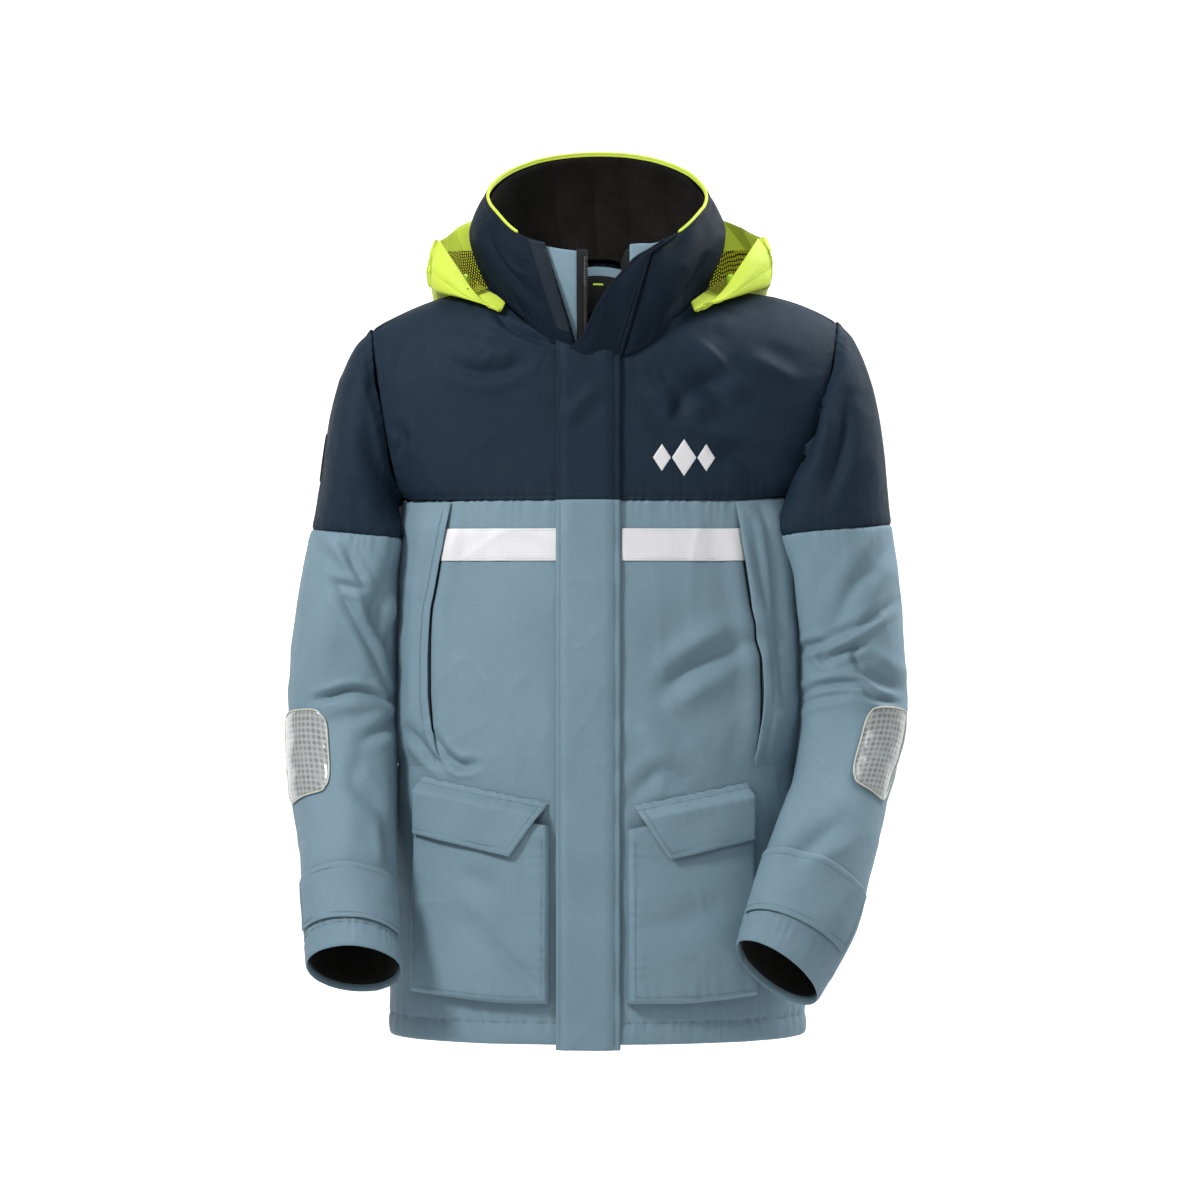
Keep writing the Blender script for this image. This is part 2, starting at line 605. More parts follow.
def reflective_material():
    """Silver-white tape with a fine square grid."""
    made, tree, shader, place = start_material("reflective_white")
    cells = node(tree, "ShaderNodeTexVoronoi", feature="DISTANCE_TO_EDGE", in_Scale=1 / 0.0032,
                 in_Randomness=0.0)
    tree.links.new(place, cells.inputs["Vector"])
    line = ranged(tree, cells.outputs["Distance"], 0.02, 0.10, 0.90, 1.0)
    shade(tree, shader, (0.69, 0.69, 0.71), multiply(tree, line, mottled(tree, place, 0.04, 4, 0.97, 1.01)))
    set_up(tree, shader, Roughness=0.42, Coat_Weight=0.15, Normal=bump(tree, line, 0.00008))
    return made


def prism_material():
    """Clear film over a plain grid of round dots."""
    made, tree, shader, place = start_material("prism_clear")
    pitch = 0.0062
    squares = []
    for part in parts_of(tree, place)[:2]:
        cell = maths(tree, "FRACT", maths(tree, "DIVIDE", part, pitch))
        off = maths(tree, "ABSOLUTE", maths(tree, "SUBTRACT", cell, 0.5))
        squares.append(maths(tree, "POWER", off, 2.0))
    distance = maths(tree, "SQRT", maths(tree, "ADD", *squares))
    dot = ranged(tree, distance, 0.26, 0.46, 1.0, 0.0)
    shine = noise_node(tree, place, 0.022, 3, 1.5)
    streaks = ranged(tree, shine, 0.35, 0.65, 0, 1)
    dark = mix_colour(tree, "MIX", streaks, (0.17, 0.18, 0.185, 1), (0.30, 0.32, 0.32, 1))
    set_up(tree, shader, Base_Color=mix_colour(tree, "MIX", dot, (0.36, 0.39, 0.385, 1), dark),
           Roughness=0.24, Coat_Weight=1.0, Coat_Roughness=0.06,
           Normal=bump(tree, shine, 0.0006, bump(tree, dot, 0.0001)))
    return made


def moulded(name, colour, roughness=0.38):
    made, tree, shader, place = start_material(name)
    shade(tree, shader, colour, mottled(tree, place, 0.004, 4, 0.88, 1.12))
    set_up(tree, shader, Roughness=mottled(tree, place, 0.002, 3, roughness - 0.06, roughness + 0.08),
           Normal=bump(tree, noise_node(tree, place, 0.0012, 3), 0.00004))
    return made


NAVY_COLOUR, BLUE_COLOUR = (0.0100, 0.0215, 0.0370), (0.160, 0.248, 0.306)
NEON_COLOUR = (0.470, 0.600, 0.060)
FABRICS = {
    "navy_shell": dict(colour=NAVY_COLOUR, roughness=0.60, sheen=0.0, gloss=0.11),
    "navy_collar": dict(colour=(0.0050, 0.0110, 0.0200), roughness=0.62, sheen=0.0, gloss=0.08),
    "blue_shell": dict(colour=BLUE_COLOUR, sheen=0.10),
    "neon_shell": dict(colour=NEON_COLOUR, roughness=0.5, vary=0.06, glow=0.14),
    "neon_facing": dict(colour=NEON_COLOUR, roughness=0.5, vary=0.06, glow=0.35),
    "tape_black": dict(colour=(0.0085, 0.0090, 0.0105), roughness=0.70, weave=0.0011, sheen=0.1, vary=0.2,
                       crumple=0.0001, grain=0.00020),
    "loop_navy": dict(colour=(0.0160, 0.0240, 0.0360), roughness=0.85, weave=0.0013, sheen=0.4, vary=0.3,
                      crumple=0.0002, grain=0.00030),
}
THREADS = {"thread_navy": (0.0120, 0.0180, 0.0270), "thread_blue": (0.115, 0.180, 0.225),
           "neon_thread": (0.42, 0.62, 0.01), "thread_white": (0.62, 0.63, 0.66)}
MATERIALS = {name: fabric(name, **settings) for name, settings in FABRICS.items()}
MATERIALS |= {name: fabric(name, colour, 0.6, 0.0005, 0.3) for name, colour in THREADS.items()}
MATERIALS |= {
    "lining_grey": net_material("lining_grey", (0.045, 0.052, 0.060), (0.010, 0.012, 0.014), 0.0030),
    "mesh_black": net_material("mesh_black", (0.010, 0.010, 0.009), (0.004, 0.004, 0.004), 0.0030),
    "mesh_over_neon": net_material("mesh_over_neon", (0.010, 0.010, 0.006), (0.60, 0.64, 0.02), 0.0058, 0.20,
                                   glow=0.50),
    "fleece_black": fleece_material(),
    "reflective_white": reflective_material(),
    "prism_clear": prism_material(),
    "prism_rim": moulded("prism_rim", (0.52, 0.53, 0.46), 0.30),
    "moulded_black": moulded("moulded_black", (0.012, 0.012, 0.014)),
    "moulded_neon": moulded("moulded_neon", (0.45, 0.74, 0.03)),
}


# ------------------------------------------------------------------ making pieces
def make(name, points, faces, uv, material):
    """A smooth mesh object with one UV a point, in metres."""
    mesh = bpy.data.meshes.new(name)
    mesh.vertices.add(len(points))
    mesh.vertices.foreach_set("co", np.asarray(points, np.float32).ravel())
    flat = np.concatenate([np.asarray(f).ravel() for f in faces]).astype(np.int32)
    sizes = np.concatenate([np.full(len(f), np.asarray(f).shape[1]) for f in faces])
    mesh.loops.add(len(flat))
    mesh.loops.foreach_set("vertex_index", flat)
    mesh.polygons.add(len(sizes))
    mesh.polygons.foreach_set("loop_start", np.concatenate([[0], np.cumsum(sizes)[:-1]]).astype(np.int32))
    mesh.polygons.foreach_set("use_smooth", np.ones(len(sizes), bool))
    mesh.update(calc_edges=True)
    layer = mesh.uv_layers.new(name="UVMap")
    layer.uv.foreach_set("vector", np.asarray(uv, np.float32)[flat].ravel())
    obj = bpy.data.objects.new(name, mesh)
    bpy.context.scene.collection.objects.link(obj)
    mesh.materials.append(MATERIALS[material])
    return obj


def lengths(p, axis):
    step = np.linalg.norm(np.diff(p, axis=axis), axis=-1)
    return np.concatenate([np.zeros_like(np.take(step, [0], axis)), np.cumsum(step, axis)], axis)


def cloth(name, points, out, thickness, material, closed=False, roll=0.35):
    """Cloth of this thickness whose outer face is the grid of points, with rolled edges."""
    p = np.asarray(points, float)
    rows, columns = p.shape[:2]
    wide = np.concatenate([p[:, -1:], p, p[:, :1]], 1) if closed else p
    du = np.gradient(wide, axis=1)[:, 1:-1] if closed else np.gradient(p, axis=1)
    dv = np.gradient(p, axis=0)
    n = unit(np.cross(du, dv))
    turned = (n * out).sum() < 0
    n = -n if turned else n
    count = columns if closed else columns - 1
    i, j = np.meshgrid(np.arange(rows - 1), np.arange(count), indexing="ij")
    k = (j + 1) % columns
    quads = np.stack([i * columns + j, i * columns + k, (i + 1) * columns + k, (i + 1) * columns + j], -1)
    quads = quads.reshape(-1, 4)
    edge = np.zeros((rows, columns), bool)
    edge[0] = edge[-1] = True
    if not closed:
        edge[:, 0] = edge[:, -1] = True
    drop = np.where(edge, roll * thickness, 0.0)[..., None]
    outer, inner = p - n * drop, p - n * (thickness - drop)
    outward = np.zeros_like(p)
    outward[0] += unit(p[0] - p[1])
    outward[-1] += unit(p[-1] - p[-2])
    if not closed:
        outward[:, 0] += unit(p[:, 0] - p[:, 1])
        outward[:, -1] += unit(p[:, -1] - p[:, -2])
    middle = p - n * thickness / 2 + unit(outward) * thickness * 0.30
    total = rows * columns
    order = np.arange(total).reshape(rows, columns)
    around = np.concatenate([order[0], order[1:, -1], order[-1, :-1][::-1], order[1:-1, 0][::-1]])
    loops = [order[0], order[-1]] if closed else [around]
    points_all = [outer.reshape(-1, 3), inner.reshape(-1, 3)]
    faces = [quads[:, ::-1] if not turned else quads, (quads if not turned else quads[:, ::-1]) + total]
    base = 2 * total
    uv = np.stack([lengths(p, 1), lengths(p, 0)], -1)
    uv[..., 0] -= uv[:, columns // 2, 0][:, None]
    uv = uv.reshape(-1, 2)
    uvs = [uv, uv]
    for number, loop in enumerate(loops):
        points_all.append(middle.reshape(-1, 3)[loop])
        uvs.append(uv[loop])
        here = base + np.arange(len(loop))
        base += len(loop)
        following = np.roll(np.arange(len(loop)), -1)
        strips = (np.stack([loop, loop[following], here[following], here], -1),
                  np.stack([here, here[following], loop[following] + total, loop + total], -1))
        faces += [strip[:, ::-1] if (turned == (number == 0)) else strip for strip in strips]
    return make(name, np.concatenate(points_all), faces, np.concatenate(uvs), material)


def attach(obj, on, stands_for=(), blended=None):
    if blended:
        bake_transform(obj)
    else:
        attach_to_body(obj, on)
    if stands_for:
        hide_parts(*stands_for)


def piece(name, surface, lift, thickness, material, on="jacket", where="body",
          stands_for=(), closed=False, blended=None):
    """A sewn sheet of cloth: the surface raised by its folds and lift, declared with its flat size.

    A name that ends in _cloth stands for the CAD solid of that name.
    """
    p, out = raised(surface, lift, where)
    obj = cloth(name, p, out, thickness, material, closed)
    attach(obj, on, [name.removesuffix("_cloth")] if name.endswith("_cloth") else stands_for, blended)
    base = np.concatenate([surface[0], surface[0][:, :1]], 1) if closed else surface[0]
    wide, tall = float(lengths(base, 1)[:, -1].max()), float(lengths(base, 0)[-1].max())
    a, b = base[1:, 1:] - base[:-1, :-1], base[1:, :-1] - base[:-1, 1:]
    area = float(np.linalg.norm(np.cross(a, b), axis=-1).sum() / 2)
    if min(wide, tall) > 0.01:
        tall = max(tall, area / wide)


def sample(values, s, centres):
    """A line's rows of values at these lengths along it."""
    return np.stack([np.interp(centres, s, values[:, k]) for k in range(3)], -1)


def copies(shape, place, *directions):
    """The shape's points at each place, turned to its three directions."""
    shape = np.array(shape)
    return place[:, None] + sum(d[:, None] * shape[None, :, n : n + 1] for n, d in enumerate(directions))


def walls(rows, sides):
    """The sides of a prism that has this many rows of faces."""
    quads = []
    for start, k in product(range(0, rows * sides, sides), range(sides)):
        following = start + (k + 1) % sides
        quads.append((start + k, following, following + sides, start + k + sides))
    return quads


def line_on(surface, where, lift):
    """A line's points and normals on the raised surface."""
    points, out = surface
    p, n = raised((points[None], out[None]), lift, where)
    return p[0], n[0]


STITCHES = {}
STITCH_SIDES = 5
STITCH_FORM = ((-0.5, 0.15), (-0.36, 0.9), (0.0, 1.0), (0.36, 0.9), (0.5, 0.15))  # place, share of radius


def seam(surface, lift, thread, on="jacket", where="body", size=(0.0033, 0.0023, 0.00030), blended=None):
    """Stitches of this pitch, length and radius, lying on a line of the raised surface."""
    p, n = line_on(surface, where, lift)
    pitch, length, radius = size
    s = lengths(p[None], 1)[0]
    if s[-1] < pitch * 2:
        return
    centres = np.arange(pitch / 2, s[-1], pitch)
    up = unit(sample(n, s, centres))
    along = unit(sample(p, s, centres + 0.0005) - sample(p, s, centres - 0.0005))
    shape = []
    for t, r in STITCH_FORM:
        for a in np.arange(STITCH_SIDES) * 2 * pi / STITCH_SIDES:
            tall = r * radius * (0.55 + np.sin(a)) if abs(t) < 0.4 else -0.4 * radius
            shape.append((t * length, r * radius * np.cos(a) * 1.2, tall))
    verts = copies(shape, sample(p, s, centres), along, unit(np.cross(up, along)), up)
    STITCHES.setdefault((on, thread, blended), []).append(verts)


def sew():
    """Joins each body's stitches of one thread into one mesh."""
    caps = np.array([(4, 3, 2, 1, 0), (20, 21, 22, 23, 24)])
    sides = np.array(walls(len(STITCH_FORM) - 1, STITCH_SIDES))
    for (on, thread, blended), rows in STITCHES.items():
        verts = np.concatenate(rows)
        start = (np.arange(len(verts)) * verts.shape[1])[:, None, None]
        flat = verts.reshape(-1, 3)
        faces = [(start + sides).reshape(-1, 4), (start + caps).reshape(-1, STITCH_SIDES)]
        obj = make(f"stitches_{on}_{thread}", flat, faces, flat[:, [0, 2]], thread)
        attach(obj, on, blended=blended)


def groove(distance, depth=0.0006, width=0.0018):
    return -depth * np.exp(-((distance / width) ** 2))


def tufts(distance, along, reach_m=0.014, size=0.0007, pitch=0.011):
    """Puckers that run off a seam and fade."""
    turn = along / pitch
    wave = np.sin(2 * pi * (turn + 0.35 * np.sin(turn * 1.7) + 0.2 * np.sin(turn * 0.6)))
    return size * np.exp(-np.abs(distance) / reach_m) * wave


# ------------------------------------------------------------------ torso
def zip_edge(side):
    return ZIP_X + SIDES[side] * ZIP_GAP


def top_edge(u, start_phi, back):
    """The neckline for the first share of u, then the shoulder ridge out to its tip."""
    phi = start_phi + (pi / 2 - start_phi) * np.minimum(u / NECK_SHARE, 1)
    line = neck(phi)
    far = NECK_RADIUS + 0.001 + (TIP_X - NECK_RADIUS - 0.001) * (u - NECK_SHARE) / (1 - NECK_SHARE)
    on_neck = u < NECK_SHARE
    return (np.where(on_neck, line[..., 0] + 0.001, far),
            np.where(on_neck, line[..., 2] - 0.001, ridge(far, back) - 1e-6))


def yoke_half(side, back, columns, rows):
    sign = SIDES[side]
    centre = 0.0 if back else sign * zip_edge(side)
    outer, base = CHEST_HALF_WIDTH - SEAM, YOKE_Z + SEAM
    start_phi = 0.0 if back else pi - asin(centre / NECK_RADIUS)
    u, v = np.meshgrid(np.linspace(0, 1, columns), (1 - np.cos(np.linspace(0, pi, rows))) / 2)
    high = top_edge(u, start_phi, back)
    first = top_edge(np.zeros(1), start_phi, back)
    arm_z = base + (TIP_Z - base) * v
    low = (centre + (outer - centre) * u, base)
    inner = (centre, base + (first[1] - base) * v)
    arm = (armhole_x(arm_z), arm_z)
    corners = ((1 - u) * (1 - v) * centre + u * (1 - v) * outer + (1 - u) * v * first[0] + u * v * TIP_X,
               (1 - v) * base + v * ((1 - u) * first[1] + u * TIP_Z))
    x, z = ((1 - v) * low[n] + v * high[n] + (1 - u) * inner[n] + u * arm[n] - corners[n] for n in (0, 1))
    points, out = body(sign * x, z, back)
    points[-1, u[-1] >= NECK_SHARE, 1] += RIDGE_GAP if back else -RIDGE_GAP
    return points, out


def front_yoke(side, sign):
    surface = yoke_half(side, False, 105, 95)
    p = surface[0]
    arm = np.linalg.norm(np.diff(p, axis=1), axis=-1)[:, ::-1].cumsum(1)[:, ::-1]
    arm = np.concatenate([arm, np.zeros((len(p), 1))], 1)
    seam_z = p[..., 2] - YOKE_Z
    lift = groove(arm - 0.006, 0.0007) + groove(seam_z - YOKE_STITCH, 0.0006)
    lift = lift + tufts(arm, p[..., 2]) * 0.3 + tufts(seam_z, p[..., 0], size=0.0005)
    near_neck = np.linalg.norm(p - p[-1, :48].mean(0), axis=-1)
    round_neck = np.arctan2(p[..., 0], -p[..., 2]) * 0.1
    lift = lift + tufts(np.abs(near_neck - 0.060), round_neck, 0.012, 0.0006)
    piece(f"front_yoke_{side}_cloth", surface, lift, SHELL, "navy_shell")
    edge = (surface[0][:, -4], surface[1][:, -4])
    seam(edge, -0.0004, "thread_navy")
    x = spread(abs(zip_edge(side)), CHEST_HALF_WIDTH - 0.004)
    seam(body(sign * x, YOKE_Z + YOKE_STITCH), -0.0004, "thread_navy")


def shoulder_tape(side, sign):
    x, w = np.meshgrid(np.linspace(NECK_RADIUS + 0.004, TIP_X - 0.003, 60), np.linspace(-0.0075, 0.0075, 9))
    tape = at(sign * x, SIDE_Y + w, ridge(x, False) + 0.0010 - 14 * w * w)
    piece(f"shoulder_tape_{side}", (tape, unit(at(0 * x, 28 * w, 1.0))), 0 * x, 0.0012,
          "navy_shell")


def back_yoke():
    right, left = yoke_half("right", True, 95, 100), yoke_half("left", True, 95, 100)
    joined = [np.concatenate([r[:, ::-1], l[:, 1:]], 1) for r, l in zip(right, left)]
    seam_z = joined[0][..., 2] - YOKE_Z
    lift = groove(seam_z - YOKE_STITCH) + tufts(seam_z, joined[0][..., 0], size=0.0006)
    piece("back_yoke_cloth", joined, lift, SHELL, "navy_shell")
    x = spread(-CHEST_HALF_WIDTH + 0.006, CHEST_HALF_WIDTH - 0.006)
    seam(body(x, YOKE_Z + YOKE_STITCH, True), -0.0004, "thread_navy")


def yokes():
    for side, sign in SIDES.items():
        front_yoke(side, sign)
        shoulder_tape(side, sign)
    back_yoke()


def hem_shape(z, along):
    """The hem's fold, its stitch line and the fullness above it."""
    up = z - HEM_Z
    line = up - HEM_STITCH
    return groove(line, 0.0010, 0.0022) + tufts(line, along, 0.012, 0.0007) + 0.0010 * bell(up, 0.010, 0.007)


def beside_welt(side, x, z):
    """The panel's rise to the welt's edge, and its dip into the slit there."""
    slit = np.abs(x) - welt_edge(side, z)
    shown = smooth((z - WELT_BOTTOM_Z + 0.01) / 0.06) * smooth((WELT_TOP_Z - z) / 0.05)
    return 0.0046 * shown * bell(slit, -0.008, 0.010) * smooth((0.0008 - slit) / 0.0024)


def body_panels():
    z = spread(YOKE_Z - SEAM, HEM_Z)[:, None]
    for side, sign in SIDES.items():
        start = angle_of(np.full_like(z, zip_edge(side)), z)
        share = np.linspace(0, 1, 125)[None]
        angle = start + (sign * SIDE_TURN - start) * share
        surface = girth(angle, z + 0 * angle)
        x, side_gap = surface[0][..., 0], (SIDE_TURN - np.abs(angle)) * 0.12
        lift = hem_shape(z, x) + groove(YOKE_Z - z, 0.0007, 0.003) + tufts(YOKE_Z - z, x + 0.003)
        lift = lift + beside_welt(side, x, z)
        lift = lift + 0.0030 * smooth((z + 0.33) / 0.04) * smooth((np.abs(x) - 0.185) / 0.018)
        lift = lift + groove(side_gap - 0.006, 0.0006)
        piece(f"front_panel_{side}_cloth", surface, lift, SHELL, "blue_shell")
        turn = np.linspace(float(start[-1, 0]), sign * SIDE_TURN, 140)
        seam(girth(turn, HEM_Z + HEM_STITCH), -0.0008, "thread_blue")
    angle = np.linspace(pi - SIDE_TURN, pi + SIDE_TURN, 230)[None]
    surface = girth(angle, z)
    lift = hem_shape(z, surface[0][..., 0]) + tufts(YOKE_Z - z, surface[0][..., 0])
    piece("back_panel_cloth", surface, lift, SHELL, "blue_shell")
    seam(girth(angle[0], HEM_Z + HEM_STITCH), -0.0008, "thread_blue")
    # the centre back seam, felled with two rows of stitches
    for offset in (-0.0035, 0.0035):
        line = body(offset, spread(YOKE_Z - 0.004, HEM_Z + 0.024), True)
        seam(line, 0.00005, "thread_blue")


def linings():
    z = spread(YOKE_Z - 0.004, HEM_Z + 0.045, 0.006)[:, None]
    for side, sign in SIDES.items():
        start = angle_of(np.full_like(z, ZIP_X + sign * 0.060), z)
        angle = start + (sign * radians(88.5) - start) * np.linspace(0, 1, 40)[None]
        surface = girth(angle, z + 0 * angle)
        ripple = 0.0008 * (1 + np.sin(surface[0][..., 0] / 0.006 + 9 * surface[0][..., 2]))
        lift = -(SHELL + LINING_GAP) - ripple
        piece(f"front_lining_{side}_cloth", surface, lift, LINING, "lining_grey")
    turn = radians(1.5)
    surface = girth(np.linspace(pi / 2 + turn, 3 * pi / 2 - turn, 90)[None], z)
    lift = -(SHELL + LINING_GAP) - 0.0010 * (1 + np.sin(surface[0][..., 0] / 0.007))
    piece("back_lining_cloth", surface, lift, LINING, "lining_grey")


# ------------------------------------------------------------------ collar
def free_edge_right(t):
    """How far left of centre the collar's right front ends."""
    return 0.0205 + 0.0345 * t


def collar_folds(phi, t):
    """Puckers at the neck seam and soft standing folds above it."""
    along = phi * NECK_RADIUS
    low = tufts(t * 0.10, along, 0.016, 0.0011, 0.013) * smooth(t / 0.04)
    standing = 0.0012 * np.sin(along / 0.0105 + 2 * np.sin(along / 0.031)) * smooth((0.75 - t) / 0.5)
    return low + standing * 0.5 + groove(t - 0.93, 0.0006, 0.020)


def collar_shell():
    t = np.linspace(-0.06, 1.0, 66)[:, None]
    right_open = np.arcsin(free_edge_right(t) / (NECK_RADIUS + flare(t)))
    left_open = np.arcsin(np.maximum(0.021, overlap_edge(t) + 0.006) / (NECK_RADIUS + flare(t)))
    share = np.linspace(0, 1, 330)[None]
    phi = -(pi - right_open) + (2 * pi - right_open - left_open) * share
    surface = collar(phi, t + 0 * phi)
    x = surface[0][..., 0]
    to_seam = 0.0062 * smooth((0.086 - x) / 0.036) - 0.0042 * smooth((0.0285 + 0.032 * t - x) / 0.006)
    to_seam = to_seam * (x > 0) * (np.cos(phi) < 0)
    piece("collar_shell_cloth", surface, collar_folds(phi, t) + to_seam, 0.0026, "navy_collar",
          where="collar")
    turn = np.linspace(-radians(146), radians(146), 300)
    seam(collar(turn, 0.07), 0.0003, "thread_navy", where="collar")


def collar_fleece():
    """Brushed lining, fuller than the shell."""
    t = np.linspace(0.06, 0.985, 46)[:, None]
    phi = np.linspace(-radians(147), radians(147), 240)[None]
    wave = 0.0034 * np.abs(np.sin(phi * 6 + 1.3 * np.sin(phi * 4) + 0.6 * t)) ** 0.7
    lift = -0.0062 - wave * smooth((1 - t) / 0.5) * smooth((3.0 - np.abs(phi)) / 0.5)
    piece("collar_fleece_cloth", collar(phi, t), lift, FLEECE, "fleece_black",
          where="collar")


def neck_tape():
    """The light tape over the neck seam inside the back."""
    phi = np.linspace(-radians(80), radians(80), 130)[None]
    t = np.linspace(-0.085, -0.005, 7)[:, None]
    piece("neck_tape", collar(phi, t), -0.0085, FACING, "blue_shell",
          where="collar")


def collar_piping():
    """Piping round the top edge, and the fold it is sewn into."""
    phi = np.linspace(-radians(134), radians(134), 300)
    p = line_on(collar(phi, 1.0), "collar", -0.0024)[0]
    rope("collar_piping_cord", p + at(0 * phi, 0, 0.0016), 0.0017, "neon_shell", "jacket", ["collar_piping"])
    phi = np.linspace(radians(-133), radians(133), 240)[None]
    lip = np.linspace(0.0, 1.0, 4)[:, None]
    top, out = line_on(collar(phi[0], 1.0), "collar", -0.0036)
    points = top[None] + at(0 * phi * lip, 0, -0.0022 * lip + 0.0014)
    points = points + out[None] * (-0.0004 * lip)[..., None]
    obj = cloth("collar_piping_fold", points, -out[None] + 0 * points, 0.0008, "neon_shell")
    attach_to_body(obj, "jacket")


def collar_hook_tape():
    """Hook tape along the right front's edge, with zigzag stitching."""
    t = np.linspace(0.16, 0.985, 70)[:, None]
    edge = free_edge_right(t)
    x = -(edge + 0.0012 + 0.0145 * np.linspace(1, 0, 12)[None])
    side_lift = 0.0008 + collar_folds(-(pi - np.arcsin(np.abs(x) / (NECK_RADIUS + flare(t)))), t)
    rough = 0.0002 * np.sin(x * 2900) * np.sin(t * 320)
    surface = collar_front(x, t + 0 * x)
    piece("collar_hook_tape", surface, side_lift + rough, TAPE, "loop_navy",
          where="collar")
    along = np.linspace(0.17, 0.975, 150)
    inner = -(free_edge_right(along) + 0.0032 + 0.0013 * np.where(np.arange(150) % 2 == 0, 1, -1))
    lift = 0.0010 + collar_folds(-(pi - np.arcsin(np.abs(inner) / (NECK_RADIUS + flare(along)))), along)
    seam(collar_front(inner, along), lift, "thread_navy", where="collar", size=(0.0026, 0.0030, 0.0005))
    inner = -(free_edge_right(along) + 0.0150)
    seam(collar_front(inner, along), lift, "thread_navy", where="collar",
         size=(0.0030, 0.0022, 0.00030))


def collar_parts():
    collar_shell()
    collar_fleece()
    neck_tape()
    collar_piping()
    collar_hook_tape()


OVERLAP_EDGE = ((-0.05, -0.034), (0.17, -0.0145), (0.42, -0.003), (0.62, 0.011), (0.85, 0.036), (0.97, 0.066))


def overlap_edge(t):
    """How far left of centre the overlap's free edge is at this share of the collar's height."""
    heights, across = zip(*OVERLAP_EDGE)
    return np.interp(t, heights, across)


def overlap_surface(share, t):
    """The storm flap's collar part: it crosses the neck opening and falls open at the top."""
    free_x = overlap_edge(t)
    seam_x = np.maximum(0.025 + 0.032 * t, free_x + 0.012)
    x = free_x + (seam_x - free_x) * share
    return collar_front(x, t)


def collar_overlap_shell():
    share, t = np.meshgrid(np.linspace(0, 1, 50), np.linspace(-0.04, 0.985, 80))
    surface = overlap_surface(share, t)
    open_top = 0.004 * smooth((t - 0.45) / 0.5) * smooth((0.6 - share) / 0.6)
    lift = 0.0074 - open_top + 0.0008 * np.sin(share * 5 + t * 4)
    lift = lift + groove((1 - share) * 0.05 - 0.004, 0.0006)
    lift = lift + 0.0008 * np.exp(-((share / 0.06) ** 2))
    piece("collar_overlap_cloth", surface, lift, FLAP, "navy_collar",
          where="collar")
    down = np.linspace(0.05, 0.95, 160)
    falling = 0.0078 - 0.004 * smooth((down - 0.45) / 0.5)
    for back_by, rise in ((0.93, 0.0074), (0.84, 0.0074), (0.07, falling)):
        line = overlap_surface(np.full(160, back_by), down)
        seam(line, rise, "thread_navy", where="collar")


def collar_overlap_facing():
    """The light facing stands taller than the overlap, where the collar falls open."""
    across, up = np.meshgrid(np.linspace(0, 1, 50), np.linspace(0, 1, 40))
    surface = collar_front(0.032 + 0.052 * across, 0.55 + 0.445 * up)
    lift = 0.0034 - 0.0062 * smooth(across / 0.5) + 0.0008 * np.sin(across * 9)
    piece("collar_overlap_facing", surface, lift, FACING, "blue_shell",
          where="collar")


def zip_garage():
    """What the zip's top ends in: a dark rounded corner."""
    across, up = np.meshgrid(np.linspace(0, 1, 24), np.linspace(0, 1, 24))
    corner = 1 - 0.30 * np.maximum(0, (0.45 - across) / 0.45) ** 2
    surface = collar_front(0.0235 + 0.014 * across, 0.50 + 0.46 * up * corner)
    piece("zip_garage", surface, 0.0002 + 0.0010 * up, 0.0022, "tape_black",
          where="collar")


def collar_overlap():
    collar_overlap_shell()
    collar_overlap_facing()
    zip_garage()


def rope(name, line, radius, material, on, stands_for=(), sides=10):
    """A round solid along a line."""
    ahead = unit(np.gradient(line, axis=0))
    side = unit(np.cross(ahead, (0.0, 0.0, 1.0)))
    up = np.cross(side, ahead)
    turn = np.linspace(0, 2 * pi, sides, endpoint=False)
    swell = np.ones(len(line))
    swell[0] = swell[-1] = 0.45
    tube = (line[:, None] + radius * swell[:, None, None] * (
        side[:, None] * np.cos(turn)[None, :, None] + up[:, None] * np.sin(turn)[None, :, None]))
    count = len(line)
    i, j = np.meshgrid(np.arange(count - 1), np.arange(sides), indexing="ij")
    k = (j + 1) % sides
    quads = np.stack([i * sides + j, (i + 1) * sides + j, (i + 1) * sides + k, i * sides + k], -1)
    quads = quads.reshape(-1, 4)
    caps = [np.arange(sides)[None], (np.arange(sides)[::-1] + (count - 1) * sides)[None]]
    s = lengths(line[None], 1)[0]
    uv = np.stack(np.broadcast_arrays(s[:, None], turn[None] * radius), -1).reshape(-1, 2)
    obj = make(name, tube.reshape(-1, 3), [quads, *caps], uv, material)
    attach(obj, on, stands_for)


# ------------------------------------------------------------------ front closure
def closure(columns, top, rows=150):
    """Rows from the hem to the neck seam and on up the collar to this share of it, at these x."""
    x = np.asarray(columns)[None]
    seam = neck(pi - np.arcsin(np.abs(x) / NECK_RADIUS))[..., 2]
    share = np.linspace(0, 1, rows)[:, None]
    low = body(x + 0 * share, HEM_Z + 0.004 + (seam - HEM_Z - 0.004) * share)
    t = np.linspace(0.06, top, 40)[:, None]
    high = collar_front(x + 0 * t, t + 0 * x)
    points, out = (np.concatenate([a, b]) for a, b in zip(low, high))
    return points, out


TOOTH_PITCH = 0.0025
# place across, half length, rise
TOOTH_FORM = ((-0.5, 0.0009, 0.0006), (0.1, 0.0008, 0.0010), (0.5, 0.0010, 0.0009))


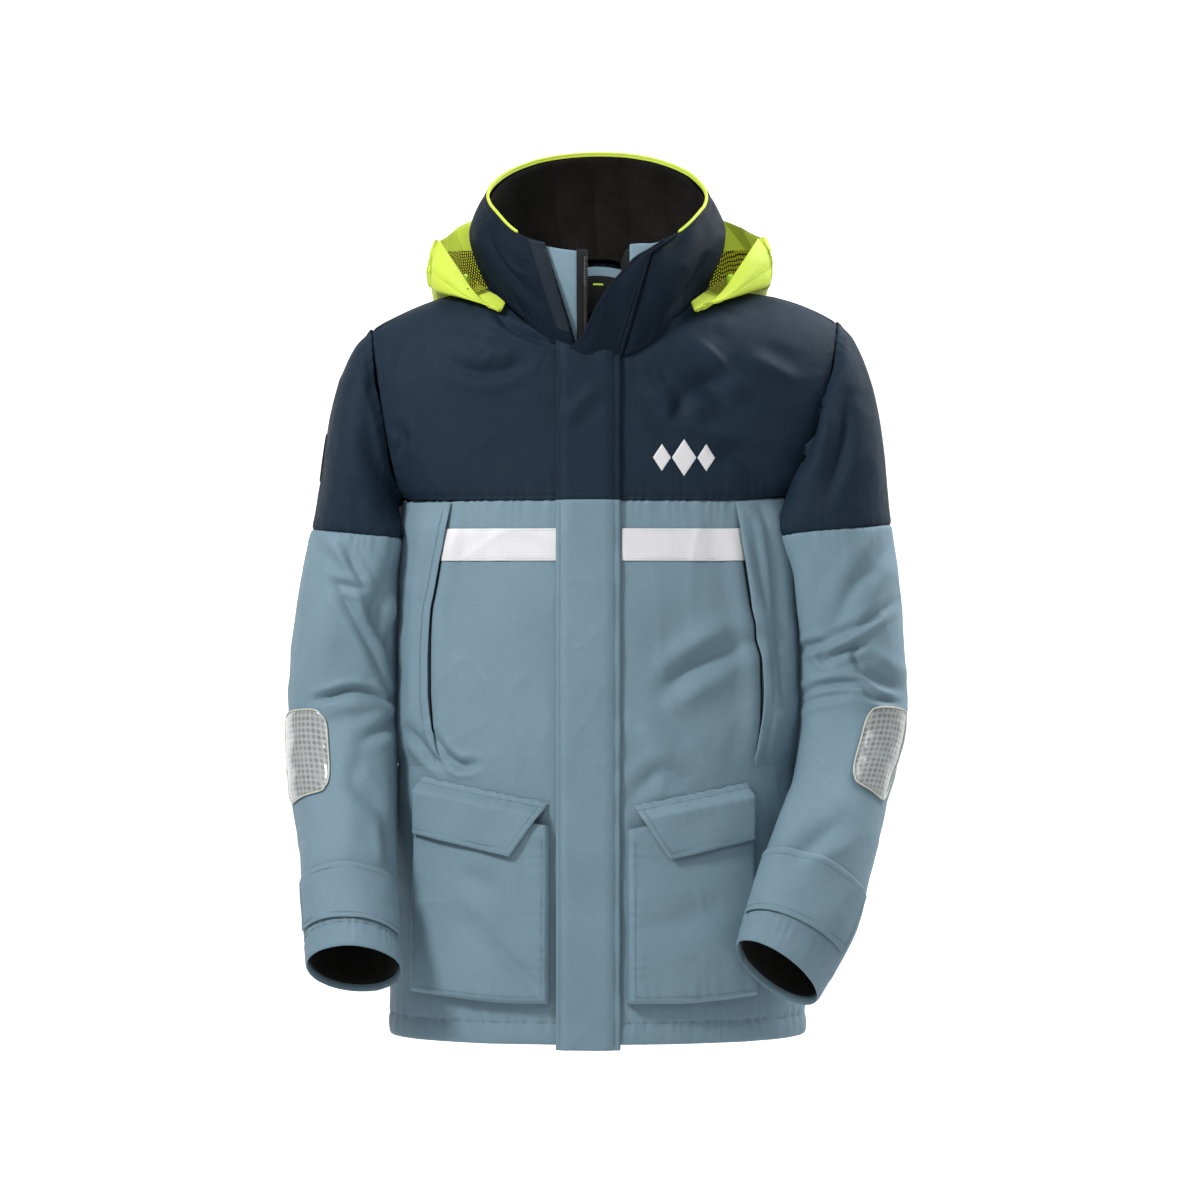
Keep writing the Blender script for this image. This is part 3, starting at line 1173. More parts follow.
def teeth(name, points, out, width, stands_for):
    """A row of moulded teeth along a line, each reaching across the zip."""
    s = lengths(points[None], 1)[0]
    centres = np.arange(0.001, s[-1] - 0.001, TOOTH_PITCH)
    up = sample(out, s, centres)
    along = unit(sample(np.gradient(points, axis=0), s, centres))
    wide = np.cross(up, along)
    wide *= np.where(wide[:, :1] < 0, -1, 1)
    shape = []
    for x, half, tall in TOOTH_FORM:
        shape += [(x * width, a, b) for a, b in ((-half, -tall), (half, -tall), (half, tall), (-half, tall))]
    verts = copies(shape, sample(points, s, centres), wide, along, unit(up))
    block = np.array(walls(2, 4) + [(3, 2, 1, 0), (8, 9, 10, 11)])
    start = (np.arange(len(verts)) * len(shape))[:, None, None]
    flat = verts.reshape(-1, 3)
    obj = make(name, flat, [(start + block).reshape(-1, 4)], flat[:, [0, 2]], "moulded_black")
    soften = obj.modifiers.new("Bevel", "BEVEL")
    soften.width, soften.segments = 0.00022, 2
    attach(obj, "jacket", stands_for)


def front_closure():
    surface = closure(spread(-0.0555, -0.0215, 0.003), 0.985)
    piece("inner_placket_cloth", surface, -0.0056, LINING, "blue_shell")
    for side, sign in SIDES.items():
        top = {"right": 1.0, "left": 0.15}[side]  # share of the collar's height that each tape reaches
        surface = closure(np.linspace(ZIP_X + sign * 0.0006, ZIP_X + sign * 0.0115, 7), top)
        rib = 0.0002 * np.sin(np.arange(7) * 2.1)[None]
        piece(f"zip_tape_{side}_cloth", surface, -0.0042 + rib, TAPE, "tape_black")
        x = ZIP_X + sign * 0.0017
        z = spread(ZIP_TOP_Z, ZIP_BOTTOM_Z + 0.014)
        p, n = line_on(body(x, z), "body", -0.0012)
        teeth(f"zip_teeth_{side}", p, n, 0.0034, [f"zip_chain_{side}"])
    t = np.linspace(0.05, 0.93, 60)
    p, n = line_on(collar_front(np.full(60, ZIP_X - 0.0026), t), "collar", -0.0026)
    teeth("zip_teeth_collar", p, n, 0.0034, ())
    for name, top, bottom in (("storm_loop_tape_upper", STORM_TOP_Z - 0.012, YOKE_Z + 0.004),
                              ("storm_loop_tape_lower", YOKE_Z - 0.004, HEM_Z + 0.03)):
        x, z = np.meshgrid(np.linspace(*LOOP_TAPE_X, 10), spread(top, bottom, 0.003))
        piece(name + "_cloth", body(x, z), 0.0014 + 0.0001 * np.sin(x * 4000) * np.sin(z * 3000),
              0.0009, "tape_black")


def storm_lift(x):
    rise = 0.0048 + 0.0034 * smooth((STORM_SEAM_X - x) / 0.016)
    return rise - 0.0030 * smooth((-0.030 - x) / 0.010)


def storm_flap():
    """The flap over the zip, in two colours; its upper part follows the neckline."""
    x = np.concatenate([spread(STORM_FREE_X, STORM_FREE_X + 0.006, 0.0009)[:-1],
                        spread(STORM_FREE_X + 0.006, STORM_SEAM_X - 0.008, 0.002)[:-1],
                        spread(STORM_SEAM_X - 0.008, STORM_SEAM_X, 0.0009)])[None]
    for name, material, top, bottom in (("storm_flap_yoke", "navy_shell", STORM_TOP_Z, YOKE_Z + SEAM),
                                        ("storm_flap_body", "blue_shell", YOKE_Z - SEAM, STORM_HEM_Z)):
        z = spread(top, bottom, 0.002)[:, None]
        upper = name == "storm_flap_yoke"
        if upper:
            neckline = RIDGE_Z - NECK_DROP_FRONT * (1 - (x / NECK_RADIUS) ** 2) + 0.0015
            z = bottom + (neckline - bottom) * (z - bottom) / (top - bottom)
        lift = storm_lift(x) + groove(x - STORM_SEAM_X + 0.0055, 0.0006, 0.0016)
        lift = lift + groove(x - STORM_FREE_X - 0.0035, 0.0004, 0.0013)
        ripple = 0.0005 * np.sin(z / 0.011 + 1.4 * np.sin(z / 0.043) + x * 60)
        lift = lift + ripple * smooth((x + 0.036) / 0.01)
        if upper:  # the top is pulled slantwise by the collar
            pull = 0.0012 * np.sin((z + 0.9 * x) / 0.0085) * smooth((z + 0.215) / 0.09)
            lift = lift + pull * smooth((0.020 - x) / 0.02)
        surface = body(x + 0 * z, z + 0 * x)
        piece(name + "_cloth", surface, lift, FLAP, material, on="storm_flap")
        thread = "thread_navy" if material == "navy_shell" else "thread_blue"
        down = spread(top - 0.004, bottom + 0.003)
        for line_x, height in ((STORM_SEAM_X - 0.0055, -0.0004), (STORM_FREE_X + 0.0035, -0.0003),
                               (STORM_SEAM_X - 0.0012, -0.0003)):
            line = body(np.full(len(down), line_x), down)
            seam(line, storm_lift(line_x) + height, thread, "storm_flap")
    z = spread(STORM_TOP_Z - 0.012, STORM_HEM_Z + 0.03, 0.003)
    x, z = np.meshgrid(np.linspace(*LOOP_TAPE_X, 10), z)
    lift = storm_lift(x) - FLAP - 0.0012 + 0.0001 * np.sin(x * 4000) * np.sin(z * 3000)
    piece("storm_hook_tape_cloth", body(x, z), lift, TAPE, "tape_black",
          on="storm_flap")


# ------------------------------------------------------------------ pockets
WELT_LINES = {  # height and distance from the centre of each welt's edge
    "right": ((-0.530, 0.161), (-0.491, 0.167), (-0.445, 0.170), (-0.399, 0.170), (-0.368, 0.168),
              (-0.348, 0.164), (-0.309, 0.157), (-0.285, 0.153), (-0.250, 0.149)),
    "left": ((-0.530, 0.159), (-0.482, 0.164), (-0.426, 0.164), (-0.395, 0.160), (-0.364, 0.154),
             (-0.327, 0.148), (-0.290, 0.143), (-0.250, 0.139)),
}


def welt_edge(side, z):
    heights, across = curve_through(WELT_LINES[side], 8).T
    return np.interp(z, heights, across)


def slit_gap(side, z):
    """How far the welt's edge gapes from the panel."""
    bumps = {"right": ((-0.345, 0.030, 0.0004), (-0.445, 0.055, 0.0014)),
             "left": ((-0.335, 0.028, 0.0010), (-0.455, 0.030, 0.0012))}[side]
    return sum(wide * np.exp(-(((z - middle) / half) ** 4)) for middle, half, wide in bumps)


def chest_welt(side, sign):
    z = spread(WELT_TOP_Z, WELT_BOTTOM_Z, 0.002)[:, None]
    start = angle_of(welt_edge(side, z) - 0.0010 + slit_gap(side, z), z)
    share = np.linspace(0, 1, 42)[None] ** 1.1
    angle = start + (radians(85.5) - start) * share
    ends = smooth((WELT_TOP_Z - z) / 0.03) * smooth((z - WELT_BOTTOM_Z) / 0.06)
    lift = 0.0004 + 0.0026 * smooth((z - WELT_BOTTOM_Z) / 0.02) + 0.0045 * ends * (1 - share)
    lift = lift + 0.0075 * ends * smooth(share / 0.30) * (1 - share) ** 0.7
    lift = lift + groove(share * 0.05 - 0.0065, 0.0005, 0.0016)
    ripple = 0.0012 * np.sin(z / 0.012 + 2.0 * np.sin(z / 0.05) + 5 * share)
    lift = lift + ripple * smooth((-0.44 - z) / 0.06) * ends
    piece(f"chest_welt_{side}_cloth", girth(sign * angle, z + 0 * angle), lift, FLAP, "blue_shell")
    down = spread(WELT_TOP_Z - 0.008, WELT_BOTTOM_Z + 0.006)
    turn = angle_of(welt_edge(side, down) + 0.0046 + slit_gap(side, down), down)
    rise = smooth((WELT_TOP_Z - down) / 0.03) * smooth((down - WELT_BOTTOM_Z) / 0.03)
    seam(girth(sign * turn, down), 0.0028 + 0.0066 * rise, "thread_blue")


def chest_zip(side, sign):
    """The slit: a dark zip tape with its teeth, lying in the hollow beside the welt."""
    down = spread(WELT_TOP_Z - 0.045, WELT_BOTTOM_Z + 0.035, 0.003)[:, None]
    inset = np.linspace(-0.0004, 0.0112, 9)[None]
    x = sign * (welt_edge(side, down) + inset)
    piece(f"chest_zip_tape_{side}", body(x, down + 0 * x),
          0.0016 - 0.0066 * smooth((inset - 0.0010) / 0.0030), TAPE, "tape_black")
    low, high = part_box(f"chest_zip_chain_{side}")
    share = spread(0.0, 1.0, FINE / (high.z - low.z))
    inside = (high.y - low.y) * 0.12  # the chain's own depth, left out of its fall
    y = high.y - inside + (low.y - high.y + 2 * inside) * share
    p = at((low.x + high.x) / 2 + 0 * share, y, high.z + (low.z - high.z) * share)
    n = np.broadcast_to((0.0, -1.0, 0.0), p.shape)
    teeth(f"chest_zip_teeth_{side}", p, n, 0.0050, [f"chest_zip_chain_{side}"])


def chest_band(side, sign):
    """The reflective band, sewn down all round."""
    inner = STORM_SEAM_X + 0.0020 if side == "left" else abs(STORM_FREE_X) - 0.0035
    v = np.linspace(0, 1, 22)[:, None]
    z = BAND_TOP_Z + (BAND_BOTTOM_Z - BAND_TOP_Z) * v
    x = inner + (welt_edge(side, z) + 0.0085 - inner) * np.linspace(0, 1, 80)[None]
    edge = np.minimum(v, 1 - v) * (BAND_TOP_Z - BAND_BOTTOM_Z)
    ripple = 0.0003 * np.sin(x / 0.006 + 3 * np.sin(x / 0.02))
    lift = 0.0016 + groove(edge - 0.0018, 0.0004, 0.0010) + ripple + beside_welt(side, x, z)
    piece(f"chest_band_{side}_cloth", body(sign * x, z + 0 * x), lift, FACING, "reflective_white")
    along = spread(inner + 0.002, float(welt_edge(side, BAND_TOP_Z)) + 0.004)
    for z in (BAND_TOP_Z - 0.0018, BAND_BOTTOM_Z + 0.0018):
        seam(body(sign * along, z), 0.0013, "thread_white", size=(0.0028, 0.0020, 0.00022))


def chest_parts():
    for side, sign in SIDES.items():
        chest_welt(side, sign)
        chest_zip(side, sign)
        chest_band(side, sign)


POCKET_STITCH = 0.0075  # inside the pocket's edges
POCKET_ROLL = 0.006  # radius of those edges
FLAP_LONG, FLAP_TALL, FLAP_STITCH = 0.12, 0.06, 0.0055


def cargo_rise(x):
    return 0.192 * (np.abs(x) - 0.050)


def pocket_floor(x):
    return POCKET_BOTTOM_Z + 0.008 * smooth((x - 0.08) / 0.12)


def pocket_lift(z):
    return 0.012 + 0.004 * np.clip((POCKET_TOP_Z - z) / (POCKET_TOP_Z - POCKET_BOTTOM_Z), 0, 1)


def flap_place(side, u, v):
    near = 0.0360 + 0.034 * v if side == "left" else 0.0500 + 0.036 * v
    x = near + (POCKET_OUTER_X[side] - 0.006 - near) * u
    z = POCKET_TOP_Z + 0.001 + cargo_rise(x) - 0.0600 * v + 0.003 * v * u
    lift = 0.0034 + (pocket_lift(z) + 0.0017) * smooth(v / 0.28)
    return SIDES[side] * x, z, lift


def pocket_face(side, sign):
    """The pocket's face, which rolls over its edges into the gusset."""
    near, far = POCKET_INNER_X[side], POCKET_OUTER_X[side]
    roll = np.linspace(0, pi / 2, 6)
    rolled = POCKET_ROLL * (1 - np.cos(roll))
    flat = spread(near + POCKET_STITCH, far - POCKET_STITCH)
    x = np.sort(np.concatenate([near + rolled, flat, far - rolled]))[None]
    v = np.concatenate([np.linspace(0, 0.94, 85), 0.94 + 0.06 * np.sin(np.linspace(0, pi / 2, 9)[1:])])
    v = v[:, None]
    mouth = POCKET_TOP_Z - 0.022 + cargo_rise(x)
    floor = pocket_floor(x)
    z = mouth + (floor - mouth) * v
    gap = np.minimum(np.minimum(x - near, far - x), z - floor)
    round_off = np.sqrt(np.clip(1 - (1 - np.clip(gap / POCKET_ROLL, 0, 1)) ** 2, 0, 1))
    lift = 0.0016 + (pocket_lift(z) - 0.0016) * round_off
    inner_gap = np.minimum(x - near, z - floor)
    lift = lift + groove(inner_gap - POCKET_STITCH, 0.0005, 0.0016)
    lift = lift + tufts(inner_gap, np.where(x - near < z - floor, z, x), 0.016, 0.0006, 0.014) * round_off
    lift = lift - 0.0022 * smooth((v - 0.02) / 0.2) * smooth((0.5 - v) / 0.3)
    piece(f"cargo_pocket_{side}_cloth", body(sign * x + 0 * z, z), lift, BELLOWS, "blue_shell")
    down = spread(float(mouth[0, 0]) - 0.012, float(floor[0, 0]) + 0.008)
    line = body(np.full(len(down), sign * (near + POCKET_STITCH)), down)
    seam(line, pocket_lift(down) - 0.0002, "thread_blue")
    along = spread(near + POCKET_STITCH, far - 0.010)
    low = pocket_floor(along) + POCKET_STITCH
    seam(body(sign * along, low), pocket_lift(low) - 0.0002, "thread_blue")


def pocket_flap(side):
    name = f"cargo_flap_{side}"
    u, v = np.meshgrid(np.linspace(0, 1, 70), np.linspace(0, 1, 34) ** 1.2)
    x, z, lift = flap_place(side, u, v)
    slanted = np.minimum(u * FLAP_LONG, (1 - v) * FLAP_TALL)
    lift = lift + groove(slanted - FLAP_STITCH, 0.0005, 0.0015)
    lift = lift + groove(v * FLAP_TALL - 0.005, 0.0006, 0.0018)
    lift = lift + 0.0007 * np.sin(x / 0.010 + 4 * v) * v
    lift = lift + tufts(v * FLAP_TALL, x, 0.014, 0.0005, 0.013) * (v > 0)
    piece(name + "_cloth", body(x, z), lift, FLAP, "blue_shell",
          on=name)
    one = np.linspace(0, 1, 90)
    inner_u = FLAP_STITCH / FLAP_LONG
    for u_line, v_line in ((inner_u + (1 - inner_u) * one, np.full(90, 0.908)),
                           (np.full(90, inner_u), 0.09 + 0.82 * one), (one, np.full(90, 0.085))):
        x, z, lift = flap_place(side, u_line, v_line)
        seam(body(x, z), lift - 0.0003, "thread_blue", name)


def pockets():
    for side, sign in SIDES.items():
        pocket_face(side, sign)
        pocket_flap(side)


# ------------------------------------------------------------------ sleeves
def sleeve_bend(side):
    sign = SIDES[side]
    return ("jacket", f"sleeve_{side}", (sign * 0.200, SIDE_Y, -0.262), (sign * 0.276, SIDE_Y, -0.312))


def armhole_tape(side):
    """Waterproof tape behind the armhole seam."""
    turn = full_turn(150)
    p, n = sleeve(side, np.zeros(150), turn)
    down = unit(sleeve_at(side, np.full(150, 0.12), turn) - p)
    points = p[None] + down[None] * np.linspace(-0.0022, 0.009, 7)[:, None, None]
    piece(f"armhole_tape_{side}", (points, n[None] + 0 * points), -0.0046, FACING, "navy_shell",
          where=side, closed=True)


def tuck(surface, sign):
    """The sleeve's inner side fills the armpit."""
    points, out = surface
    return 0.0060 * smooth(-sign * out[..., 0] / 0.6) * bell(points[..., 2], -0.285, 0.040)


def full_turn(count, whole=False):
    return np.linspace(0, 2 * pi, count, endpoint=whole)


def runs(*spans):
    """A column of places through these spans, each given as its start, end and count."""
    rows = [np.linspace(*span)[1 if number else 0 :] for number, span in enumerate(spans)]
    return np.concatenate(rows)[:, None]


def sleeve_upper(side, sign, turn):
    base = sleeve(side, runs((0, 0.35, 8), (0.35, COLOUR_RING - 0.02, 92)), turn)
    drop = lengths(base[0], 0)
    lift = tufts(drop, turn * 0.07, 0.018, 0.0004, 0.014) + 0.0012 * smooth((0.010 - drop) / 0.010)
    lift = lift + tuck(base, sign)
    to_seam = drop[-1] - drop
    lift = lift + groove(to_seam, 0.0006, 0.003) + tufts(to_seam, turn * 0.07 + 0.003, size=0.0005)
    piece(f"sleeve_upper_{side}_cloth", base, lift, SHELL, "navy_shell",
          where=side, closed=True, blended=sleeve_bend(side))


def sleeve_lower(side, sign, turn):
    s = runs((COLOUR_RING + 0.02, 10.3, 150), (10.3, CUFF_RING, 45))
    base = sleeve(side, s, turn)
    drop = lengths(base[0], 0)
    to_line = drop[-1] - drop - 0.024
    lift = groove(drop, 0.0006, 0.003) + tufts(drop, turn * 0.07, size=0.0006)
    lift = lift + groove(to_line, 0.0009, 0.0018) + tufts(to_line, turn * 0.05, 0.010, 0.0005)
    lift = lift + tuck(base, sign)
    elbow = bell(s, 8.3, 0.9) * smooth(np.cos(turn + pi / 3) + 0.2)
    lift = lift + 0.0012 * elbow * np.sin(s * 11 + 2 * np.sin(turn * 2))
    piece(f"sleeve_lower_{side}_cloth", base, lift, SHELL, "blue_shell",
          where=side, closed=True, blended=sleeve_bend(side))


def cuff_lining(side, turn):
    s = np.linspace(10, 11.9, 22)[:, None]
    lift = -0.0052 - 0.0008 * (1 + np.sin(turn * 11)) * smooth((11.8 - s) / 0.5)
    piece(f"cuff_lining_{side}_cloth", sleeve(side, s, turn), lift, LINING, "mesh_black",
          on=f"sleeve_{side}", where=side, closed=True)


def sleeves():
    turn = full_turn(190)[None]
    for side, sign in SIDES.items():
        armhole_tape(side)
        sleeve_upper(side, sign, turn)
        sleeve_lower(side, sign, turn)
        for row, thread, height in ((COLOUR_RING - 0.10, "thread_navy", -0.0004),
                                    (11.52, "thread_blue", -0.0006)):
            stitched = sleeve(side, np.full(220, row), full_turn(220, True))
            seam(stitched, height, thread, f"sleeve_{side}", side, blended=sleeve_bend(side))
        cuff_lining(side, turn[:, ::2])
        forearm_patch(side)
        cuff_tab(side)


PATCH_ROWS = (7.84, 9.22)  # along the sleeve's rings
PATCH_TURN = {"right": (6, 78), "left": (20, 80)}  # degrees round the sleeve
TAB_ROWS, TAB_TURN = (10.45, 11.45), (160, 14)
TAB_STITCH_LIFT = 0.0034


def forearm_patch(side):
    """Clear film in a welded white rim on the outside of the forearm."""
    low, high = PATCH_TURN[side]
    s, a = np.meshgrid(np.linspace(*PATCH_ROWS, 60), np.radians(np.linspace(low, high, 36)), indexing="ij")
    u, v = (s - PATCH_ROWS[0]) / (PATCH_ROWS[1] - PATCH_ROWS[0]), (np.degrees(a) - low) / (high - low)
    # rounded corners: the grid's corners are drawn in
    pull = 0.12 * np.abs(2 * u - 1) ** 4 * np.abs(2 * v - 1) ** 4
    middle_s, middle_a = sum(PATCH_ROWS) / 2, np.radians((low + high) / 2)
    s = middle_s + (s - middle_s) * (1 - pull)
    a = middle_a + (a - middle_a) * (1 - pull * 1.6)
    wave = 0.0004 * np.sin(u * 17 + 3 * v) * np.sin(v * 5)
    edge = np.minimum(np.minimum(u, 1 - u) * 0.085, np.minimum(v, 1 - v) * 0.042)
    lift = 0.0022 + wave - 0.0008 * smooth((0.003 - edge) / 0.003)
    name = f"prism_patch_{side}"
    piece(name + "_film", sleeve(side, s, a), lift, 0.0011, "prism_clear",
          on=f"sleeve_{side}", where=side, stands_for=[name])
    edge_s, edge_a = (np.concatenate([g[0], g[1:, -1], g[-1, ::-1][1:], g[::-1, 0][1:]]) for g in (s, a))
    rim = line_on(sleeve(side, edge_s, edge_a), side, 0.0020)[0]
    rope(name + "_rim", rim, 0.0009, "prism_rim", f"sleeve_{side}", sides=8)


def cuff_tab(side):
    """The adjuster's tab, a little narrower at its free end, with stitches round three sides."""
    first, last = TAB_TURN
    middle = sum(TAB_ROWS) / 2
    s, a = np.meshgrid(np.linspace(*TAB_ROWS, 26), np.radians(np.linspace(first, last, 60)), indexing="ij")
    u, v = s - TAB_ROWS[0], (first - np.degrees(a)) / (first - last)
    s = middle + (s - middle) * (1 - 0.10 * v**3)
    edge = np.minimum(np.minimum(u, 1 - u) * 0.05, (1 - v) * 0.11)
    lift = 0.0029 + 0.0008 * smooth(v / 0.1)
    lift = lift + groove(edge - 0.0045, 0.0004, 0.0014) + 0.0007 * np.sin(v * 16 + 3 * u) * v
    name = f"cuff_tab_{side}"
    piece(name + "_cloth", sleeve(side, s, a), lift, BELLOWS, "blue_shell",
          on=name, where=side)
    one = np.linspace(0, 1, 110)
    lines = [(middle + (row - 0.5) * (1 - 0.10 * one**3), 0.02 + 0.93 * one) for row in (0.09, 0.91)]
    lines.append((middle + (one * 0.82 - 0.41) * 0.9, 0.955 + 0 * one))
    for line_s, share in lines:
        line_a = np.radians(first - (first - last) * share)
        seam(sleeve(side, line_s, line_a), TAB_STITCH_LIFT, "thread_blue", name, where=side)


# ------------------------------------------------------------------ hood
# how far the hood's standing wall bulges, by its share of the height
HOOD_WALL = ((0, 0.55), (0.04, 0.9), (0.2, 1.05), (0.40, 1.1),
             (0.6, 1.0), (0.75, 0.80), (0.9, 0.5), (1.0, 0.30))


def hood_at(phi, share, inset=0.0):
    """The folded hood: share 0 near the neck seam, 0.5 where it turns up, 1 at its rim."""
    rear = np.cos(phi) > 0
    behind = smooth((np.cos(phi) + 0.10) / 1.10)
    ends = smooth((HOOD_END - np.abs(phi)) / radians(26))
    base = neck(phi)
    sign = np.where(phi > 0, 1.0, -1.0)
    tip = smooth((HOOD_END - np.abs(phi)) / radians(12))
    out_x = (0.005 + 0.008 * tip + 0.036 * ends) * np.abs(np.sin(phi))
    down = 0.128 * behind**1.3 + 0.012 * (1 - behind)

    def low(part):
        x = base[..., 0] + sign * out_x * part
        z = np.minimum(base[..., 2] - down * part, ridge(x, rear) - 0.0002)
        p, n = body(x, z, rear)
        return p + n * (0.0050 + 0.003 * part)[..., None]

    part = np.clip(share / 0.5, 0, 1)
    p = low(0.24 + 0.76 * part)
    p = p + at(0 * phi, 0, inset * (0.5 + 0.9 * behind)) + unit(p - (0.0, SIDE_Y, -0.16)) * inset
    foot = low(np.ones_like(part))
    direction = at(np.sin(phi), np.cos(phi), 0)
    bulge = (0.010 + 0.012 * behind) * (0.2 + 0.8 * tip)
    height = HOOD_RIM_Z - 0.076 * (1 - ends) + 0.046 * behind - foot[..., 2]
    up = np.clip((share - 0.5) / 0.5, 0, 1)
    heights, shares = zip(*HOOD_WALL)
    out = np.interp(up, heights, shares)
    rise = height * up + inset * (1 - up) * 1.3
    wall = foot + direction * (bulge * out - inset)[..., None] + at(0 * phi, 0, rise)
    blend = smooth((share - 0.44) / 0.12)[..., None]
    return p * (1 - blend) + wall * blend


def hood_surface(phi, share, inset=0.0):
    phi, share = np.broadcast_arrays(phi, share)
    e = 0.01
    around = hood_at(phi + e, share, inset) - hood_at(phi - e, share, inset)
    across = hood_at(phi, np.minimum(share + e, 1), inset) - hood_at(phi, np.maximum(share - e, 0), inset)
    out = unit(np.cross(around, across))
    here = hood_at(phi, share, inset)
    gutter = here - at(0.55 * here[..., 0], 0.045 + 0 * phi, 0.03 + 0 * phi)
    inward = (out * gutter).sum(-1, keepdims=True) < 0
    return here, np.where(inward, -out, out)


def hood():
    phi = np.linspace(-HOOD_END, HOOD_END, 300)[:, None]
    share = np.linspace(0, 1, 60)[None]
    surface = hood_surface(phi, share)
    s = phi * 0.16
    lift = 0.0016 * np.sin(s / 0.013 + 3 * np.sin(s / 0.05) + share * 5) * smooth((share - 0.45) / 0.3)
    lift = lift * smooth((HOOD_END - np.abs(phi)) / 0.15) + groove((1 - share) * 0.06 - 0.018, 0.0009, 0.002)
    piece("hood_shell_cloth", surface, lift, 0.0014, "neon_shell", on="hood",
          where="hood")
    # the rim's facing, turned in
    share = np.linspace(0.85, 0.995, 12)[None]
    phi_in = phi[3:-3]
    piece("hood_facing", hood_surface(phi_in, share), -0.0019, 0.0010, "neon_facing",
          on="hood", where="hood")
    share = np.linspace(0.02, 0.90, 50)[None]
    phi_in = np.linspace(-HOOD_END + 0.18, HOOD_END - 0.18, 240)[:, None]
    lift = -0.0004 + 0.0006 * np.sin(phi_in * 17.8)
    piece("hood_lining_cloth", hood_surface(phi_in, share, 0.0044), lift, TAPE, "mesh_over_neon",
          on="hood", where="hood")
    turn = np.linspace(-HOOD_END + 0.05, HOOD_END - 0.05, 500)
    seam(hood_surface(turn, np.full(500, 0.70)), 0.0, "neon_thread", "hood", where="hood")


# ------------------------------------------------------------------ small pieces
def hanging_loop():
    """A ribbed strap arch."""
    low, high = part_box("hanging_loop")
    turn = np.linspace(pi, 0, 60)[None]
    across = np.linspace(low.y, high.y, 9)[:, None]
    rib = 0.0001 * np.cos(across / 0.0006)
    points = at(0.030 * np.cos(turn), across, 0.016 * (np.sin(turn) ** 0.6 - 1) + 0.0012 + rib)
    ends = np.gradient(points[4], axis=0)
    out = unit(at(-ends[:, 2], 0, ends[:, 0]))[None] + 0 * points
    out = out * np.where(out[..., 2:] < 0, -1, 1)
    obj = cloth("hanging_loop_strap", points, out, 0.0012, "tape_black")
    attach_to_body(obj, "jacket")
    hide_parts("hanging_loop")


def neck_label():
    """A blank woven label with a plain light stripe."""
    phi, t = np.meshgrid(np.radians(np.linspace(-16, 16, 30)), np.linspace(-0.40, -0.09, 14))
    piece("neck_label_cloth", collar(phi, t), -0.0105, FACING, "tape_black",
          where="collar")
    phi, t = np.meshgrid(np.radians(np.linspace(-3, 3, 8)), (-0.172, -0.158))
    piece("neck_label_stripe", collar(phi, t), -0.0117, 0.0003, "neon_shell",
          where="collar")


LOZENGES = ((0.0645, 0.0135), (0.087, 0.0185), (0.1095, 0.0135))  # place across, half height
LOZENGE_Z = -0.214


def chest_emblem():
    """Three plain lozenges, bonded to the chest."""
    for number, (x, size) in enumerate(LOZENGES):
        u, v = np.meshgrid(np.linspace(-1, 1, 14), np.linspace(-1, 1, 14))
        px, pz = x + size * 0.66 * (u + v) / 2, LOZENGE_Z + size * (v - u) / 2
        piece(f"chest_emblem_{number}", body(px, pz), 0.0010, 0.0006, "reflective_white",
              stands_for=["chest_emblem"] if number == 1 else ())


def sleeve_label():
    s, a = np.meshgrid(np.linspace(2.85, 3.6, 20), np.radians(np.linspace(-12, 10, 12)), indexing="ij")
    piece("sleeve_label_cloth", sleeve("right", s, a), 0.0012, FACING, "tape_black",
          where="right", blended=sleeve_bend("right"))


def small_pieces():
    hanging_loop()
    neck_label()
    chest_emblem()
    sleeve_label()


def hard_parts():
    """CAD pieces shown as they are, with softened edges and a moulded finish."""
    for name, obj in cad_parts.items():
        if obj.hide_render:
            continue
        material = "moulded_neon" if "toggle" in name else "moulded_black"
        obj.data.materials.clear()
        obj.data.materials.append(MATERIALS[material])
        if not obj.data.uv_layers:
            layer = obj.data.uv_layers.new(name="UVMap")
            co = np.array([obj.data.vertices[l.vertex_index].co[:] for l in obj.data.loops])
            layer.uv.foreach_set("vector", (co[:, [0, 2]] + co[:, [1, 1]] * 0.7).astype(np.float32).ravel())
        soften = obj.modifiers.new("Bevel", "BEVEL")
        soften.width, soften.segments, soften.limit_method = 0.0005, 3, "ANGLE"


# ------------------------------------------------------------------ studio
VIEW_WIDTH = 1.26  # what the picture takes in at the jacket, in metres
LIGHTS = (  # name, place, aim, size, power, colour
    ("key", (-1.40, -1.40, 0.92), (0.02, -0.1, -0.25), 0.45, 46.0, (1.0, 0.99, 0.98)),
    ("front", (0.0, -2.6, 0.9), (0, 0, -0.3), 1.2, 15.0, (0.98, 0.99, 1.0)),
    ("rim", (1.3, 0.3, 1.0), (0.1, 0, -0.2), 0.8, 40.0, (1, 1, 1)),
    ("right", (1.9, -1.2, 0.9), (0.1, -0.1, -0.2), 0.7, 5.0, (1, 1, 1)),
    ("top", (-0.2, 0.1, 1.4), (0, 0, -0.2), 0.9, 7.0, (1, 1, 1)),
)
# the backdrop's profile, back and up; past its first face it glows like lit paper
SWEEP = ((-8.0, -1.25), (1.5, -1.25), (5.0, -1.25), (5.6, -1.20), (6.1, -0.95), (6.4, -0.5), (6.5, 0.2),
         (6.5, 6.0))
SWEEP_HALF = 9.0
PAPER_GLOW = 0.85


